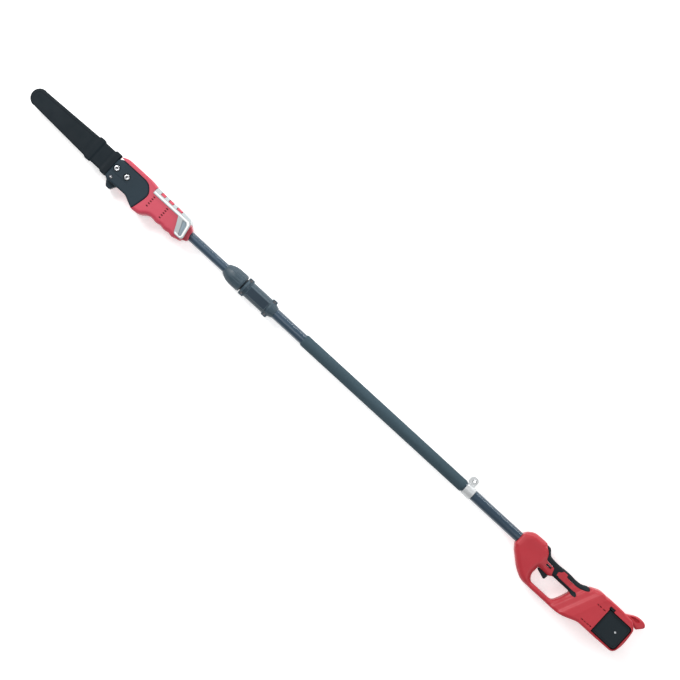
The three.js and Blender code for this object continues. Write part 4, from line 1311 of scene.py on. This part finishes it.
chain_low, chain_high = extent("saw_chain")
chain_loops = section("saw_chain", BAR_MID + 0.9)
CHAIN_HALF = (chain_high[2] - chain_low[2]) / 2
chain_track = grown(spaced(chain_loops[0], 0.8), -3.0)
PITCH = 9.3


def plate(loop, low, high):
    """A flat plate between two heights."""
    count = len(loop)
    points = np.vstack([np.column_stack([loop, np.full(count, h)]) for h in (low, high)])
    faces = [list(range(count))[::-1], list(range(count, 2 * count))]
    faces += [[i, (i + 1) % count, count + (i + 1) % count, count + i] for i in range(count)]
    return points, faces


def oval(length, height, rise=0.0):
    turn = np.linspace(0, 2 * math.pi, 16, endpoint=False)
    waist = 1 - 0.16 * np.cos(2 * turn)
    return np.stack([length / 2 * np.cos(turn), rise + height / 2 * np.sin(turn) / waist], axis=1)


STRAP = oval(12.4, 4.0, -0.1)
DRIVE = np.array([
    [-5.6, -1.9], [-3.4, -2.2], [-0.4, -5.4], [1.6, -5.2], [3.4, -2.2], [5.6, -1.9], [6.2, 0],
    [5.4, 1.5], [2.5, 1.3], [0, 0.9], [-2.5, 1.3], [-5.4, 1.5], [-6.2, 0],
])
TOOTH = np.array([
    [-6.0, -1.4], [5.8, -1.8], [6.4, 0], [5.9, 2.3], [4.1, 2.5], [3.4, 1.0], [1.6, 0.7],
    [0.9, 2.7], [-5.8, 2.1], [-6.3, 0],
])
TOP_PLATE = np.array([[-5.8, 1.5], [0.9, 2.1], [1.1, 2.85], [-5.8, 2.2]])


def laid(solid, middle, along, out):
    """A link's solid put on the bar's edge."""
    points, faces = solid
    flat = middle + points[:, :1] * along + points[:, 1:2] * out
    return np.column_stack([flat, points[:, 2] + BAR_MID]), faces


track_ahead = np.roll(chain_track, -1, axis=0) - chain_track
track_along = np.concatenate([[0], np.cumsum(np.linalg.norm(track_ahead, axis=1))])
track_closed = np.vstack([chain_track, chain_track[:1]])
link_count = 2 * int(round(track_along[-1] / PITCH / 2))
stations = np.arange(link_count) * track_along[-1] / link_count


def on_track(distance_along):
    wanted = np.mod(distance_along, track_along[-1])
    return np.stack([np.interp(wanted, track_along, track_closed[:, k]) for k in range(2)], axis=-1)


links = []
for number, station in enumerate(stations):
    middle = on_track(station)
    along = on_track(station + 4.4) - on_track(station - 4.4)
    along /= np.linalg.norm(along)
    out = np.array([along[1], -along[0]])
    parts = []
    if number % 2:
        parts.append(plate(DRIVE, -0.65, 0.65))
    else:
        side = 1 if number % 4 else -1
        for hand in (1, -1):
            cutter = hand == side
            inner, outer = sorted((hand * 0.85, hand * 1.9))
            parts.append(plate(TOOTH if cutter else STRAP, inner, outer))
            if cutter:
                inner, outer = sorted((hand * 0.2, hand * (CHAIN_HALF - 0.1)))
                parts.append(plate(TOP_PLATE, inner, outer))
        for end in (-4.6, 4.6):
            rivet = turned(
                [(-2.3, 0.5), (-2.3, 1.1), (-2.0, 1.35), (2.0, 1.35), (2.3, 1.1), (2.3, 0.5)],
                10, None, (end, 0), "z",
            )
            parts.append(rivet)
    links += [laid(part, middle, along, out) for part in parts]
piece("chain_links", *merged(*links), "saw_chain", sharp=30)


# ---------------------------------------------------------------- small hardware

# What the CAD still shows is machined or pressed: its edges are broken, and its rounds smoothed.
for node_name, node_object in NODES.items():
    if node_object.hide_render:
        continue
    node_object.data.shade_smooth()
    node_object.data.set_sharp_from_angle(angle=math.radians(36))
    broken = node_object.modifiers.new("broken_edges", "BEVEL")
    broken.width = 0.00025
    broken.segments = 2
    broken.limit_method = "ANGLE"
    broken.angle_limit = math.radians(50)
    broken.harden_normals = True


# ---------------------------------------------------------------- stage, light and camera


def emitter(name, place, aim, size, energy, colour=(1, 1, 1)):
    light = bpy.data.lights.new(name, "AREA")
    light.shape = "RECTANGLE"
    light.size, light.size_y = size
    light.energy = energy
    light.color = colour
    made = bpy.data.objects.new(name, light)
    made.location = place
    made.rotation_euler = (Vector(aim) - Vector(place)).to_track_quat("-Z", "Y").to_euler()
    bpy.context.scene.collection.objects.link(made)


floor_mesh = bpy.data.meshes.new("floor")
floor_mesh.from_pydata(
    [(-9, -9, -0.0015), (9, -9, -0.0015), (9, 9, -0.0015), (-9, 9, -0.0015)], [], [(0, 1, 2, 3)],
)
floor = bpy.data.objects.new("floor", floor_mesh)
bpy.context.scene.collection.objects.link(floor)
paper = Look("paper", Roughness=0.9)
paper.tint(paper.colour(paper.noise(0.6), (0.90, 0.90, 0.90), (0.93, 0.93, 0.93)))
paper.shader.inputs["Emission Color"].default_value = (1, 1, 1, 1)
paper.shader.inputs["Emission Strength"].default_value = 0.4
floor_mesh.materials.append(paper.material)

world = bpy.data.worlds.new("studio")
world.use_nodes = True
world.node_tree.nodes["Background"].inputs["Color"].default_value = (1, 1, 1, 1)
world.node_tree.nodes["Background"].inputs["Strength"].default_value = 0.36
bpy.context.scene.world = world
bpy.context.scene.view_settings.view_transform = "Standard"

# The picture's upper left is along the tool's top, so the main light stands on that side.
TILT = math.radians(42.5)
FOCUS = Vector(((0 + POLE[0]) / 1000, (63.15 + POLE[1]) / 1000, POLE[2] / 1000))
UP = Vector((-math.sin(TILT), math.cos(TILT), 0))
RIGHT = Vector((math.cos(TILT), math.sin(TILT), 0))
emitter("key", FOCUS + 1.6 * UP - 0.9 * RIGHT + Vector((0, 0, 1.9)), FOCUS, (1.2, 0.6), 48)
emitter("fill", FOCUS - 1.5 * UP + 1.3 * RIGHT + Vector((0, 0, 1.7)), FOCUS, (1.4, 1.4), 9)
emitter("top", FOCUS + 0.2 * UP + Vector((0, 0, 2.6)), FOCUS, (2.4, 1.0), 11)

emitter("strip", FOCUS + Vector((0, 1.9, 0.62)), FOCUS, (3.4, 0.1), 26)

REACH = 5.0
HALF_VIEW = 0.884
lens = bpy.data.cameras.new("camera")
lens.sensor_fit = "HORIZONTAL"
lens.angle = 2 * math.atan(HALF_VIEW / REACH)
camera = bpy.data.objects.new("camera", lens)
camera.location = FOCUS + Vector((0, 0, REACH))
camera.rotation_euler = (0, 0, TILT)
bpy.context.scene.collection.objects.link(camera)
bpy.context.scene.camera = camera
